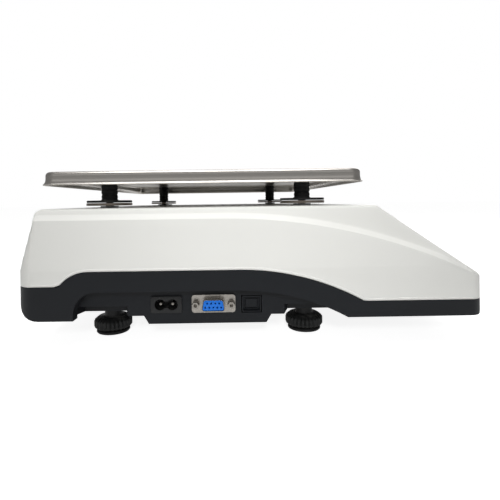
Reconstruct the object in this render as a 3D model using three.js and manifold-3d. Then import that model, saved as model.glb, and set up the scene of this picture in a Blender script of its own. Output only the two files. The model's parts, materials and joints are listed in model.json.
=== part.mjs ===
// Counting scale: a plastic body on four levelling feet, with a stainless steel pan on four rubber posts.
// Millimetres, +Z up. The user stands at -Y and -X is their left. The origin is on the floor, under the
// middle of the body. Each function below makes one piece, or one set of alike pieces.

import * as THREE from "three";
import { mergeVertices } from "three/addons/utils/BufferGeometryUtils.js";
import Module from "manifold-3d";

const wasm = await Module();
wasm.setup();

// ---- Driving dimensions ------------------------------------------------------------------------

const GAP = 0.3; // between two pieces that touch
const SLACK = 0.5; // round a piece that sits in a hole
const WALL = 2.5; // shell thickness
const FAR = 400; // longer than the body, for cutting shapes
const LEFT = -1;
const RIGHT = 1;

// The whole body, cover and base together
const FRONT_Y = -162.5;
const REAR_Y = 162.5;
const SIDE_X = 158.5;
const FRONT_CORNER_R = 12;
const REAR_CORNER_R = 15;
const DRAFT_START_Z = 54; // the side walls lean in above this height
const REAR_LEAN_Z = 55.5; // and the rear wall above this one
const REAR_TOP = { y: 153, z: 90 };
const TOP_Z = 96.5;
const TOP_EDGE = 4; // width of the eased edge at the top of the rear wall

// The side cheeks end in a crest, which runs level and then dips to the front
const CREST = { x: 154, y: 18.5, z: 88.4, r: 395 };
const UPPER_X = 149; // the raised middle between the two crests

// The sloping front that carries the display and the keys
const SLOPE_TOP_Y = -91;
const SLOPE_FOOT_Z = 47;
const SLOPE_ANGLE = Math.atan2(TOP_Z - SLOPE_FOOT_Z, SLOPE_TOP_Y - FRONT_Y);
const SLOPE_MIDDLE = { y: (SLOPE_TOP_Y + FRONT_Y) / 2, z: (TOP_Z + SLOPE_FOOT_Z) / 2 };

// The line where the white cover meets the black base
const SEAM = { rearZ: 43.5, rearY: 111, rearR: 24.8, z: 53.5, frontY: 8, frontR: 176, frontZ: 31 };

// The base: its underside, the arch cut from each side skirt, and the shallow box in its middle
const UNDERSIDE_Z = 20;
const BASE_REAR_R = 18;
const BASE_FRONT_R = 6;
const ARCH = { rearY: 121, rearR: 15, z: 39.3, frontY: 8, frontR: 154 };
const PANEL_X = 148.3; // the flat panel behind the arch, which holds the sockets
const BOX = { frontY: -11.7, rearY: 71.6, z: 14.2, flare: 3.5 };
const FLOOR_Z = UNDERSIDE_Z + WALL;

// Levelling feet, and the notch that the base leaves round each
const FOOT = { x: 117.75, rearY: 106.3, frontY: -44.1, height: 12, r: 14.4 };
const FLUTES = { count: 24, depth: 0.9 };
const FOOT_NECK_R = 6.4;
const FOOT_STUD = { r: 4, top: 38, holeR: 4.5 };
const FOOT_PAD = { r: 12.6, height: 2 };
const FOOT_BOSS_R = 9;
const NOTCH = { innerX: 135, innerHalf: 15.4, outerHalf: 20.5, top: 27 };

// Pan, posts, and the frame that carries them on the load cell
const PAN = { y: 32.5, halfX: 147, halfY: 117.25, cornerR: 11, low: 114, top: 123.4, sheet: 1.2, edgeR: 2.4 };
const POST = {
  x: 118.7, y: 32, dy: 75.6, topR: 6.45, lowR: 6.1, ribs: 5, ribDepth: 0.5, holeR: 3.3, roof: 1,
};
const FLANGE = { r: 17, low: 100.6, top: 102.3 };
const WASHER = { r: 17.2, holeR: 3.4, low: 98.3, top: 100.3 };
const PILLAR = { r: 7, top: 98, studR: 3, studTop: 112, holeR: 10 };
const FRAME = { low: 66, top: 72, spineHalf: 20, barHalf: 9, overhang: 9 };
const CELL = { halfX: 15, halfY: 65, low: 34.3, top: 56.3, boreR: 7.5, boreDy: 12, slot: 2 };
const SPACER_LENGTH = 30;
const CELL_SINK = 0.5; // how far the free end of the load cell sinks at full load
const CHASSIS = { halfX: 130, frontY: -62, rearY: 124, low: 23, top: 26 };

// Battery and its door under the box
const BATTERY = { x0: 24, x1: 124, y0: -5, y1: 65, low: 17.2, top: 64.2 };
const BATTERY_ROOM = 2; // kept clear round it in the chassis plate
const TERMINAL = { x: 9, fromEnd: 12, half: 3, height: 5 };
const DOOR = { x0: 20, x1: 128, y0: -8, y1: 68 };

// Mains transformer, and the board behind the sloping front
const CORE = { x0: -112, x1: -62, y0: 8, y1: 50, height: 40 };
const WINDING = { x0: -103, x1: -71, y0: 0, y1: 58, low: 8, top: 32 };
const MAIN_BOARD = { halfX: 95, y0: -142, y1: -78, low: 30, thick: 1.6, chipHeight: 3.4 };
const CHIPS = [
  { x: -60, y: -110, width: 18, depth: 14 },
  { x: 10, y: -104, width: 24, depth: 18 },
  { x: 62, y: -118, width: 12, depth: 20 },
];

// Sockets on the left panel: mains inlet, nine-way serial socket and a blank
const PORT_Z = 28.3;
const INLET = { y: 59, z: 28, flangeY: 22, flangeZ: 12, lip: 1.2, bodyY: 19.6, bodyZ: 10, depth: 14 };
const INLET_MOUTH = { r: 3.9, end: 3 };
const INLET_PIN = { dy: 4.3, r: 1.2, holeR: 1.6, sunk: 0.6, tail: 5 };
const SERIAL = { y: 25.6, flangeY: 30.8, flangeZ: 12.5, plate: 0.9, cornerR: 2, depth: 9 };
const D_SHELL = { y: 17, z: 8.6, out: 5.6, sheet: 0.5, leanDegrees: 10, roomY: 1, roomZ: 0.8 };
const CONTACT = { pitch: 2.77, dz: 1.42, r: 0.65, depth: 5 };
const SCREW = { dy: 12.5, headR: 2.7, headLength: 4.6, shankR: 1.4, boreR: 1.3 };
const SCREW_HOLE = { plateR: 1.7, panelR: 1.9 };
const BLANK = { y: -1.2, z: 27.4, sizeY: 13.5, sizeZ: 11.3, recess: 3, depth: 5, wall: 0.8 };

// Power switch on the right panel
const SWITCH = { y: 25, z: 28.3, flangeY: 22, flangeZ: 15, bodyY: 19.6, bodyZ: 12.6, lip: 1.6, depth: 16 };
const SWITCH_MOUTH = { sideY: 0.7, sideZ: 0.6, depth: 7 };
const ROCKER = { halfY: 8, halfZ: 4.4, endOut: 3, middleOut: 3.8, endIn: 2, middleIn: 4, pivotIn: 1 };
const SWITCH_TILT = THREE.MathUtils.degToRad(10);

// Front panel, in its own plane: x to the right, y up the slope, z out of it
const FACE = { halfX: 135, halfY: 36, thick: 3, proud: 0.5, cornerR: 4 };
const WINDOW = { x: -43, y: 3, halfX: 78, halfY: 23, cornerR: 2, thick: 1.5, sunk: 0.2 };
const KEYPAD = { x: 92, columns: 4, rows: 4, pitchX: 17.5, pitchY: 14.5 };
const KEY = { halfX: 7, halfY: 5.2, r: 1.5, out: 1.8, deep: 5 };
const BOARD = { deep: 10.9, thick: 1.6, marginX: 5, marginY: 4, cornerR: 2 };
const ON_BOARD = 2 - BOARD.deep; // where the display and the key mat start, just clear of the board
const DISPLAY = { margin: 1, belowWindow: 1.5 };
const KEY_MAT_THICK = 1.6;
const LEVEL = { x: 62, y: 96, r: 7, flangeR: 9, low: 88, top: 97.8 };

// ---- Finishes ----------------------------------------------------------------------------------

const FINISHES = {
  cover_white: { color: 0xe8e8e2, roughness: 0.45, metalness: 0 },
  base_black: { color: 0x1d2124, roughness: 0.5, metalness: 0 },
  stainless: { color: 0xb8b6b2, roughness: 0.3, metalness: 1 },
  rubber_black: { color: 0x161616, roughness: 0.8, metalness: 0 },
  zinc: { color: 0xa9a49c, roughness: 0.35, metalness: 1 },
  aluminium: { color: 0xb9bcc0, roughness: 0.4, metalness: 1 },
  knob_black: { color: 0x141515, roughness: 0.45, metalness: 0 },
  socket_black: { color: 0x101112, roughness: 0.3, metalness: 0 },
  socket_blue: { color: 0x0a66c8, roughness: 0.35, metalness: 0 },
  nickel: { color: 0xc9c9c6, roughness: 0.25, metalness: 1 },
  face_grey: { color: 0x3c434b, roughness: 0.35, metalness: 0 },
  window_clear: { color: 0xa8b0b4, roughness: 0.08, metalness: 0 },
  display_green: { color: 0x9fae8c, roughness: 0.3, metalness: 0 },
  key_light: { color: 0xdcdcd8, roughness: 0.5, metalness: 0 },
  key_blue: { color: 0x2f6fae, roughness: 0.5, metalness: 0 },
  board_green: { color: 0x1c5a38, roughness: 0.5, metalness: 0 },
  battery_grey: { color: 0x53565a, roughness: 0.5, metalness: 0 },
  core_steel: { color: 0x5d6064, roughness: 0.5, metalness: 1 },
};

// ---- Shapes and solids -------------------------------------------------------------------------

function solid(geometry) {
  const bare = geometry.clone();
  bare.deleteAttribute("normal");
  bare.deleteAttribute("uv");
  const merged = mergeVertices(bare, 1e-4);
  const vertProperties = new Float32Array(merged.attributes.position.array);
  const triVerts = new Uint32Array(merged.index.array);
  return new wasm.Manifold(new wasm.Mesh({ numProp: 3, vertProperties, triVerts }));
}

function surface(manifold) {
  const mesh = manifold.getMesh();
  const geometry = new THREE.BufferGeometry();
  const places = new Float32Array(mesh.vertProperties);
  geometry.setAttribute("position", new THREE.BufferAttribute(places, 3));
  geometry.setIndex(new THREE.BufferAttribute(new Uint32Array(mesh.triVerts), 1));
  geometry.computeVertexNormals();
  return geometry;
}

function block(x0, x1, y0, y1, z0, z1) {
  const geometry = new THREE.BoxGeometry(x1 - x0, y1 - y0, z1 - z0);
  geometry.translate((x0 + x1) / 2, (y0 + y1) / 2, (z0 + z1) / 2);
  return solid(geometry);
}

function column(x, y, r, z0, z1, sides = 24) {
  const geometry = new THREE.CylinderGeometry(r, r, z1 - z0, sides);
  geometry.rotateX(Math.PI / 2);
  geometry.translate(x, y, (z0 + z1) / 2);
  return solid(geometry);
}

function rodAlongX(y, z, r, x0, x1, sides = 16) {
  const geometry = new THREE.CylinderGeometry(r, r, x1 - x0, sides);
  geometry.rotateZ(Math.PI / 2);
  geometry.translate((x0 + x1) / 2, y, z);
  return solid(geometry);
}

function extrude(shape, depth, curveSegments) {
  return new THREE.ExtrudeGeometry(shape, { depth, bevelEnabled: false, curveSegments });
}

// An outline drawn in (x, y), raised from z0 to z1.
function prismUp(shape, z0, z1, curveSegments = 3) {
  const geometry = extrude(shape, z1 - z0, curveSegments);
  geometry.translate(0, 0, z0);
  return solid(geometry);
}

// An outline drawn in (y, z), run across from x0 to x1.
function prismAcross(shape, x0, x1, curveSegments = 6) {
  const geometry = extrude(shape, x1 - x0, curveSegments);
  const axes = new THREE.Matrix4().makeBasis(
    new THREE.Vector3(0, 1, 0),
    new THREE.Vector3(0, 0, 1),
    new THREE.Vector3(1, 0, 0),
  );
  geometry.applyMatrix4(axes);
  geometry.translate(x0, 0, 0);
  return solid(geometry);
}

// An outline drawn in (x, z), run along the whole depth of the body.
function prismAlong(shape) {
  const geometry = extrude(shape, 2 * FAR, 1);
  geometry.rotateX(Math.PI / 2);
  geometry.translate(0, FAR, 0);
  return solid(geometry);
}

function outline(points) {
  return new THREE.Shape(points.map(([a, b]) => new THREE.Vector2(a, b)));
}

function roundedRect(halfA, halfB, r, a = 0, b = 0) {
  const shape = new THREE.Shape();
  const turn = Math.PI / 2;
  shape.absarc(a + halfA - r, b + halfB - r, r, 0, turn, false);
  shape.absarc(a - halfA + r, b + halfB - r, r, turn, 2 * turn, false);
  shape.absarc(a - halfA + r, b - halfB + r, r, 2 * turn, 3 * turn, false);
  shape.absarc(a + halfA - r, b - halfB + r, r, 3 * turn, 4 * turn, false);
  shape.closePath();
  return shape;
}

function lathe(points, sides) {
  const profile = points.map(([r, z]) => new THREE.Vector2(r, z));
  const geometry = new THREE.LatheGeometry(profile, sides);
  geometry.rotateX(Math.PI / 2);
  return geometry;
}

function join(solids) {
  return solids.reduce((whole, next) => whole.add(next));
}

function cut(whole, solids) {
  return solids.reduce((rest, next) => rest.subtract(next), whole);
}

function mesh(name, shape, finish) {
  const geometry = shape.isBufferGeometry ? shape : surface(shape);
  const piece = new THREE.Mesh(geometry, new THREE.MeshStandardMaterial(FINISHES[finish]));
  piece.name = name;
  return piece;
}

// The four corners where feet and posts stand, each with the name that its pieces carry.
function corners(x, rearY, frontY) {
  return [
    { name: "front_left", x: -x, y: frontY },
    { name: "front_right", x, y: frontY },
    { name: "rear_left", x: -x, y: rearY },
    { name: "rear_right", x, y: rearY },
  ];
}

const footCorners = corners(FOOT.x, FOOT.rearY, FOOT.frontY);
const postCorners = corners(POST.x, POST.y + POST.dy, POST.y - POST.dy);

// ---- Body outlines -----------------------------------------------------------------------------

function bodyPlan(inset) {
  const shape = new THREE.Shape();
  const x = SIDE_X - inset;
  const rear = REAR_Y - inset;
  const front = FRONT_Y + inset;
  const rearR = REAR_CORNER_R - inset;
  const frontR = FRONT_CORNER_R - inset;
  const turn = Math.PI / 2;
  shape.absarc(x - rearR, rear - rearR, rearR, 0, turn, false);
  shape.absarc(-x + rearR, rear - rearR, rearR, turn, 2 * turn, false);
  shape.absarc(-x + frontR, front + frontR, frontR, 2 * turn, 3 * turn, false);
  shape.absarc(x - frontR, front + frontR, frontR, 3 * turn, 4 * turn, false);
  shape.closePath();
  return shape;
}

// The cheeks seen from the front: upright, then leaning in up to the crest.
function cheekSection(inset) {
  const x = SIDE_X - inset;
  const crestX = CREST.x - inset;
  return outline([
    [-x, 0],
    [x, 0],
    [x, DRAFT_START_Z],
    [crestX, CREST.z],
    [-crestX, CREST.z],
    [-x, DRAFT_START_Z],
  ]);
}

function rearWallY(z) {
  const lean = (REAR_Y - REAR_TOP.y) / (REAR_TOP.z - REAR_LEAN_Z);
  return REAR_Y - lean * Math.max(0, z - REAR_LEAN_Z);
}

// The cheeks seen from the side, up to the crest.
function cheekSide(inset) {
  const shape = new THREE.Shape();
  const front = FRONT_Y + inset;
  const r = CREST.r - inset;
  const sweep = Math.asin((CREST.y - front) / r);
  shape.moveTo(REAR_Y - inset, 0);
  shape.lineTo(REAR_Y - inset, REAR_LEAN_Z);
  shape.lineTo(rearWallY(CREST.z) - inset, CREST.z - inset);
  shape.absarc(CREST.y, CREST.z - CREST.r, r, Math.PI / 2, Math.PI / 2 + sweep, false);
  shape.lineTo(front, 0);
  return shape;
}

// The raised middle seen from the side: rear wall, level top and front slope.
function middleSide(inset) {
  const top = TOP_Z - inset;
  const slopeTop = SLOPE_TOP_Y + inset * Math.tan(SLOPE_ANGLE / 2);
  const front = FRONT_Y + inset;
  const foot = top - (slopeTop - front) * Math.tan(SLOPE_ANGLE);
  const rearTop = REAR_TOP.y - inset;
  return outline([
    [REAR_Y - inset, 0],
    [REAR_Y - inset, REAR_LEAN_Z],
    [rearTop, REAR_TOP.z - inset],
    [rearTop - TOP_EDGE / 2, top - TOP_EDGE / 3],
    [rearTop - 2 * TOP_EDGE, top],
    [slopeTop, top],
    [front, foot],
    [front, 0],
  ]);
}

function bodySolid(inset) {
  const plan = prismUp(bodyPlan(inset), 0, TOP_Z);
  const cheeks = prismAcross(cheekSide(inset), -FAR, FAR).intersect(prismAlong(cheekSection(inset)));
  const middle = prismAcross(middleSide(inset), inset - UPPER_X, UPPER_X - inset);
  return cheeks.add(middle).intersect(plan);
}

// Everything above the seam, or with a drop, above a line that much lower.
function aboveSeam(drop) {
  const shape = new THREE.Shape();
  const rearZ = SEAM.z - SEAM.rearR;
  const frontZ = SEAM.z - SEAM.frontR;
  const rearStart = Math.asin((SEAM.rearZ - rearZ) / SEAM.rearR);
  const frontEnd = Math.PI - Math.asin((SEAM.frontZ - frontZ) / SEAM.frontR);
  shape.moveTo(FAR, FAR);
  shape.lineTo(FAR, SEAM.rearZ - drop);
  shape.absarc(SEAM.rearY, rearZ - drop, SEAM.rearR, rearStart, Math.PI / 2, false);
  shape.absarc(SEAM.frontY, frontZ - drop, SEAM.frontR, Math.PI / 2, frontEnd, false);
  shape.lineTo(-FAR, SEAM.frontZ - drop);
  shape.lineTo(-FAR, FAR);
  return prismAcross(shape, -FAR, FAR);
}

// The space under one arch, grown by a margin, outward from the panel on one side.
function archSpace(side, margin) {
  const shape = new THREE.Shape();
  const rearR = ARCH.rearR + margin;
  const frontR = ARCH.frontR + margin;
  const centreZ = ARCH.z - ARCH.frontR;
  const frontEnd = Math.PI - Math.asin((UNDERSIDE_Z - centreZ) / frontR);
  shape.moveTo(ARCH.rearY + margin, -FAR);
  shape.lineTo(ARCH.rearY + margin, ARCH.z - ARCH.rearR);
  shape.absarc(ARCH.rearY - ARCH.rearR, ARCH.z - ARCH.rearR, rearR, 0, Math.PI / 2, false);
  shape.absarc(ARCH.frontY, centreZ, frontR, Math.PI / 2, frontEnd, false);
  shape.lineTo(ARCH.frontY + frontR * Math.cos(frontEnd), -FAR);
  const inner = PANEL_X - margin;
  return side === LEFT ? prismAcross(shape, -FAR, -inner) : prismAcross(shape, inner, FAR);
}

// The notch beside one foot, grown by a margin. It widens towards the panel.
function footNotch(corner, margin) {
  const side = Math.sign(corner.x);
  const outerX = side * (PANEL_X + WALL);
  const innerX = side * (NOTCH.innerX - margin);
  const outer = NOTCH.outerHalf + margin;
  const inner = NOTCH.innerHalf + margin;
  const points = [[outerX, -outer], [outerX, outer], [innerX, inner], [innerX, -inner]];
  const shape = outline(points.map(([x, y]) => [x, corner.y + y]));
  return prismUp(shape, 0, NOTCH.top + margin);
}

function boxSide(inset) {
  const flare = BOX.flare;
  return outline([
    [BOX.frontY + inset, BOX.z + inset],
    [BOX.rearY - inset, BOX.z + inset],
    [BOX.rearY - inset + flare, UNDERSIDE_Z + inset],
    [BOX.rearY - inset + flare, FLOOR_Z + inset],
    [BOX.frontY + inset - flare, FLOOR_Z + inset],
    [BOX.frontY + inset - flare, UNDERSIDE_Z + inset],
  ]);
}

// ---- Shells ------------------------------------------------------------------------------------

function faceOpening() {
  const shape = roundedRect(FACE.halfX + SLACK, FACE.halfY + SLACK, FACE.cornerR);
  const geometry = extrude(shape, 4 * FACE.thick, 3);
  geometry.translate(0, 0, -2 * FACE.thick);
  geometry.rotateX(SLOPE_ANGLE);
  geometry.translate(0, SLOPE_MIDDLE.y, SLOPE_MIDDLE.z);
  return solid(geometry);
}

function topCover() {
  const shell = bodySolid(0).intersect(aboveSeam(0)).subtract(bodySolid(WALL));
  const postHoles = postCorners.map(({ x, y }) => column(x, y, PILLAR.holeR, DRAFT_START_Z, FAR));
  const levelHole = column(LEVEL.x, LEVEL.y, LEVEL.r + SLACK, DRAFT_START_Z, FAR);
  return mesh("top_cover", cut(shell, [...postHoles, levelHole, faceOpening()]), "cover_white");
}

function baseSide(inset) {
  const shape = new THREE.Shape();
  const rearR = BASE_REAR_R - inset;
  const frontR = BASE_FRONT_R - inset;
  shape.absarc(REAR_Y - BASE_REAR_R, UNDERSIDE_Z + BASE_REAR_R, rearR, -Math.PI / 2, 0, false);
  shape.lineTo(REAR_Y - inset, TOP_Z);
  shape.lineTo(FRONT_Y + inset, TOP_Z);
  shape.absarc(FRONT_Y + BASE_FRONT_R, UNDERSIDE_Z + BASE_FRONT_R, frontR, Math.PI, 1.5 * Math.PI, false);
  shape.closePath();
  return shape;
}

function baseOuter() {
  const side = prismAcross(baseSide(0), -SIDE_X, SIDE_X, 4);
  const tub = side.intersect(prismUp(bodyPlan(0), 0, TOP_Z));
  const box = prismAcross(boxSide(0), -PANEL_X, PANEL_X);
  return cut(tub.add(box), [aboveSeam(GAP)]);
}

// The room inside the base, kept away from the arches, the notches and the box walls.
function baseCavity() {
  const inner = PANEL_X - WALL;
  const side = prismAcross(baseSide(WALL), -SIDE_X, SIDE_X, 4);
  const tub = side.intersect(prismUp(bodyPlan(WALL), 0, TOP_Z));
  const box = prismAcross(boxSide(WALL), -inner, inner);
  const arches = [archSpace(LEFT, WALL), archSpace(RIGHT, WALL)];
  const notches = footCorners.map((corner) => footNotch(corner, WALL));
  return cut(cut(tub, arches).add(box), notches);
}

function baseHousing() {
  const bossTop = CHASSIS.low - GAP;
  const bosses = footCorners.map(({ x, y }) => column(x, y, FOOT_BOSS_R, UNDERSIDE_Z, bossTop));
  const studHoles = footCorners.map(({ x, y }) => column(x, y, FOOT_STUD.holeR, 0, TOP_Z));
  const notches = footCorners.map((corner) => footNotch(corner, 0));
  const arches = [archSpace(LEFT, 0), archSpace(RIGHT, 0)];
  const holes = [
    portHole(LEFT, INLET.y, INLET.z, INLET.bodyY, INLET.bodyZ),
    portHole(LEFT, SERIAL.y, PORT_Z, D_SHELL.y + 2 * D_SHELL.roomY, D_SHELL.z + 2 * D_SHELL.roomZ),
    portHole(LEFT, BLANK.y, BLANK.z, BLANK.sizeY, BLANK.sizeZ),
    portHole(RIGHT, SWITCH.y, SWITCH.z, SWITCH.bodyY, SWITCH.bodyZ),
    block(DOOR.x0 - SLACK, DOOR.x1 + SLACK, DOOR.y0 - SLACK, DOOR.y1 + SLACK, 0, FLOOR_Z),
  ];
  const outX = -PANEL_X - WALL;
  const inX = -PANEL_X + 2 * WALL;
  const screwHoles = [-1, 1].map((way) =>
    rodAlongX(SERIAL.y + way * SCREW.dy, PORT_Z, SCREW_HOLE.panelR, outX, inX, 12),
  );
  const shell = join([baseOuter().subtract(baseCavity()), ...bosses]);
  const cuts = [...arches, ...notches, ...studHoles, ...holes, ...screwHoles];
  return mesh("base_housing", cut(shell, cuts), "base_black");
}

function portHole(side, y, z, sizeY, sizeZ) {
  const near = PANEL_X - 2 * WALL;
  const far = PANEL_X + WALL;
  const [x0, x1] = side === LEFT ? [-far, -near] : [near, far];
  const halfY = sizeY / 2 + SLACK;
  const halfZ = sizeZ / 2 + SLACK;
  return block(x0, x1, y - halfY, y + halfY, z - halfZ, z + halfZ);
}

// ---- Weighing mechanism ------------------------------------------------------------------------

function chassisPlate() {
  const { halfX, frontY, rearY, low, top } = CHASSIS;
  const plate = block(-halfX, halfX, frontY, rearY, low, top);
  const studHoles = footCorners.map(({ x, y }) => column(x, y, FOOT_STUD.holeR, 0, FOOT_STUD.top));
  const { x0, x1, y0, y1 } = BATTERY;
  const room = BATTERY_ROOM;
  const batteryHole = block(x0 - room, x1 + room, y0 - room, y1 + room, 0, FOOT_STUD.top);
  return mesh("chassis_plate", cut(plate, [...studHoles, batteryHole]), "zinc");
}

function loadCell() {
  const y0 = POST.y - CELL.halfY;
  const y1 = POST.y + CELL.halfY;
  const middleZ = (CELL.low + CELL.top) / 2;
  const beam = block(-CELL.halfX, CELL.halfX, y0, y1, CELL.low, CELL.top);
  const boreY = [POST.y - CELL.boreDy, POST.y + CELL.boreDy];
  const bores = boreY.map((y) => rodAlongX(y, middleZ, CELL.boreR, -FAR, FAR, 20));
  const halfSlot = CELL.slot / 2;
  const slot = block(-FAR, FAR, ...boreY, middleZ - halfSlot, middleZ + halfSlot);
  return mesh("load_cell", cut(beam, [...bores, slot]), "aluminium");
}

// One spacer is under the fixed front end of the load cell, the other over its free rear end.
function cellSpacers() {
  const x = CELL.halfX;
  const frontY = POST.y - CELL.halfY;
  const rearY = POST.y + CELL.halfY;
  const upperLow = CELL.top + GAP + CELL_SINK;
  const lower = block(-x, x, frontY, frontY + SPACER_LENGTH, CHASSIS.top + GAP, CELL.low - GAP);
  const upper = block(-x, x, rearY - SPACER_LENGTH, rearY, upperLow, FRAME.low - GAP);
  return [mesh("cell_spacer_lower", lower, "zinc"), mesh("cell_spacer_upper", upper, "zinc")];
}

function panFrame() {
  const reach = POST.x + FRAME.overhang;
  const frontY = POST.y - POST.dy;
  const rearY = POST.y + POST.dy;
  const spine = block(-FRAME.spineHalf, FRAME.spineHalf, frontY, rearY, FRAME.low, FRAME.top);
  const bars = [frontY, rearY].map((y) =>
    block(-reach, reach, y - FRAME.barHalf, y + FRAME.barHalf, FRAME.low, FRAME.top),
  );
  const pillars = postCorners.map(({ x, y }) => column(x, y, PILLAR.r, FRAME.low, PILLAR.top, 16));
  const studs = postCorners.map(({ x, y }) => column(x, y, PILLAR.studR, FRAME.low, PILLAR.studTop, 12));
  return mesh("pan_frame", join([spine, ...bars, ...pillars, ...studs]), "aluminium");
}

// A rubber post: a flange that covers the hole in the cover, and a ribbed sleeve up to the pan.
function postProfile() {
  const top = PAN.top - PAN.sheet - GAP;
  const pitch = (top - FLANGE.top) / POST.ribs;
  const points = [[POST.holeR, FLANGE.low], [FLANGE.r, FLANGE.low], [FLANGE.r, FLANGE.top]];
  for (let rib = 0; rib < POST.ribs; rib += 1) {
    const r = THREE.MathUtils.lerp(POST.lowR, POST.topR, rib / (POST.ribs - 1));
    const z = FLANGE.top + rib * pitch;
    points.push([r - POST.ribDepth, z], [r, z + pitch / 2]);
  }
  const roofZ = PILLAR.studTop + POST.roof;
  points.push([POST.topR - POST.ribDepth, top], [0, top], [0, roofZ], [POST.holeR, roofZ], points[0]);
  return points;
}

function panPosts() {
  const { r, holeR, low, top } = WASHER;
  return postCorners.flatMap(({ name, x, y }) => {
    const ring = lathe([[holeR, low], [r, low], [r, top], [holeR, top], [holeR, low]], 24);
    const post = mesh(`pan_post_${name}`, solidSurface(lathe(postProfile(), 16)), "rubber_black");
    const washer = mesh(`post_washer_${name}`, solidSurface(ring), "zinc");
    post.position.set(x, y, 0);
    washer.position.set(x, y, 0);
    return [post, washer];
  });
}

// A lathe made into a closed body with its faces out.
function solidSurface(geometry) {
  const bare = geometry.clone();
  bare.deleteAttribute("normal");
  bare.deleteAttribute("uv");
  return mergeVertices(bare, 1e-4);
}

function weighingPan() {
  const half = { x: PAN.halfX, y: PAN.halfY };
  const body = new THREE.ExtrudeGeometry(roundedRect(half.x, half.y, PAN.cornerR, 0, PAN.y), {
    depth: PAN.top - PAN.low - PAN.edgeR,
    bevelThickness: PAN.edgeR,
    bevelSize: PAN.edgeR,
    bevelOffset: -PAN.edgeR,
    bevelSegments: 2,
    curveSegments: 3,
  });
  body.translate(0, 0, PAN.low);
  const outer = solid(body).intersect(block(-FAR, FAR, -FAR, FAR, PAN.low, PAN.top));
  const sheet = PAN.sheet;
  const inner = roundedRect(half.x - sheet, half.y - sheet, PAN.cornerR - sheet, 0, PAN.y);
  return mesh("weighing_pan", outer.subtract(prismUp(inner, 0, PAN.top - sheet)), "stainless");
}

// ---- Levelling feet ----------------------------------------------------------------------------

function flutedOutline() {
  const points = [];
  for (let flute = 0; flute < FLUTES.count; flute += 1) {
    const angle = (2 * Math.PI * flute) / FLUTES.count;
    const half = Math.PI / FLUTES.count;
    const low = FOOT.r - FLUTES.depth;
    points.push([FOOT.r * Math.cos(angle), FOOT.r * Math.sin(angle)]);
    points.push([low * Math.cos(angle + half), low * Math.sin(angle + half)]);
  }
  return outline(points);
}

function feet() {
  const grip = prismUp(flutedOutline(), FOOT_PAD.height + GAP, FOOT.height);
  const neck = column(0, 0, FOOT_NECK_R, FOOT.height - 1, UNDERSIDE_Z - GAP, 20);
  const stud = column(0, 0, FOOT_STUD.r, FOOT.height - 1, FOOT_STUD.top, 16);
  const knobShape = surface(join([grip, neck, stud]));
  const padShape = surface(column(0, 0, FOOT_PAD.r, 0, FOOT_PAD.height, 32));
  return footCorners.flatMap(({ name, x, y }) => {
    const knob = mesh(`foot_knob_${name}`, knobShape.clone(), "knob_black");
    const pad = mesh(`foot_pad_${name}`, padShape.clone(), "rubber_black");
    knob.position.set(x, y, 0);
    pad.position.set(x, y, 0);
    return [knob, pad];
  });
}

// ---- Sockets and switch ------------------------------------------------------------------------

function mainsInlet() {
  const face = -PANEL_X - GAP;
  const { y, z, depth } = INLET;
  const pinY = [y - INLET_PIN.dy, y + INLET_PIN.dy];
  const mouthEnd = face + depth - INLET_MOUTH.end;
  const flange = portBlock(y, z, INLET.flangeY, INLET.flangeZ, face - INLET.lip, face);
  const body = portBlock(y, z, INLET.bodyY, INLET.bodyZ, face - INLET.lip, face + depth);
  const mouths = pinY.map((holeY) => rodAlongX(holeY, z, INLET_MOUTH.r, -FAR, mouthEnd, 20));
  const waist = portBlock(y, z, 2 * INLET_PIN.dy, INLET_MOUTH.r, -FAR, mouthEnd);
  const pinHoles = pinY.map((holeY) => rodAlongX(holeY, z, INLET_PIN.holeR, -FAR, 0, 12));
  const shell = cut(flange.add(body), [...mouths, waist, ...pinHoles]);
  const pins = ["front", "rear"].map((name, index) => {
    const tail = face + depth + INLET_PIN.tail;
    const pin = rodAlongX(pinY[index], z, INLET_PIN.r, face + INLET_PIN.sunk, tail, 12);
    return mesh(`inlet_pin_${name}`, pin, "nickel");
  });
  return [mesh("mains_inlet", shell, "socket_black"), ...pins];
}

function portBlock(y, z, sizeY, sizeZ, x0, x1) {
  return block(x0, x1, y - sizeY / 2, y + sizeY / 2, z - sizeZ / 2, z + sizeZ / 2);
}

// The D outline of the serial socket, with its wide side down, drawn in from the shell's outside.
function dOutline(y, z, inset) {
  const sizeY = D_SHELL.y - 2 * inset;
  const sizeZ = D_SHELL.z - 2 * inset;
  const lean = sizeZ * Math.tan(THREE.MathUtils.degToRad(D_SHELL.leanDegrees));
  const half = sizeY / 2;
  const low = z - sizeZ / 2;
  const high = z + sizeZ / 2;
  return outline([[y - half, low], [y + half, low], [y + half - lean, high], [y - half + lean, high]]);
}

function serialSocket() {
  const face = -PANEL_X - GAP;
  const front = face - SERIAL.plate;
  const mouth = front - D_SHELL.out;
  const { y, flangeY, flangeZ, cornerR } = SERIAL;
  const plate = prismAcross(roundedRect(flangeY / 2, flangeZ / 2, cornerR, y, PORT_Z), front, face, 3);
  const tube = prismAcross(dOutline(y, PORT_Z, 0), mouth, face);
  const room = prismAcross(dOutline(y, PORT_Z, D_SHELL.sheet), -FAR, 0);
  const screwY = [y - SCREW.dy, y + SCREW.dy];
  const screwHoles = screwY.map((holeY) => rodAlongX(holeY, PORT_Z, SCREW_HOLE.plateR, -FAR, 0, 12));
  const filling = dOutline(y, PORT_Z, D_SHELL.sheet + GAP);
  const insert = prismAcross(filling, mouth + GAP, face + SERIAL.depth);
  return [
    mesh("serial_shell", cut(plate.add(tube), [room, ...screwHoles]), "nickel"),
    mesh("serial_insert", cut(insert, contactHoles(mouth)), "socket_blue"),
    ...serialScrews(front, screwY),
  ];
}

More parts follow.
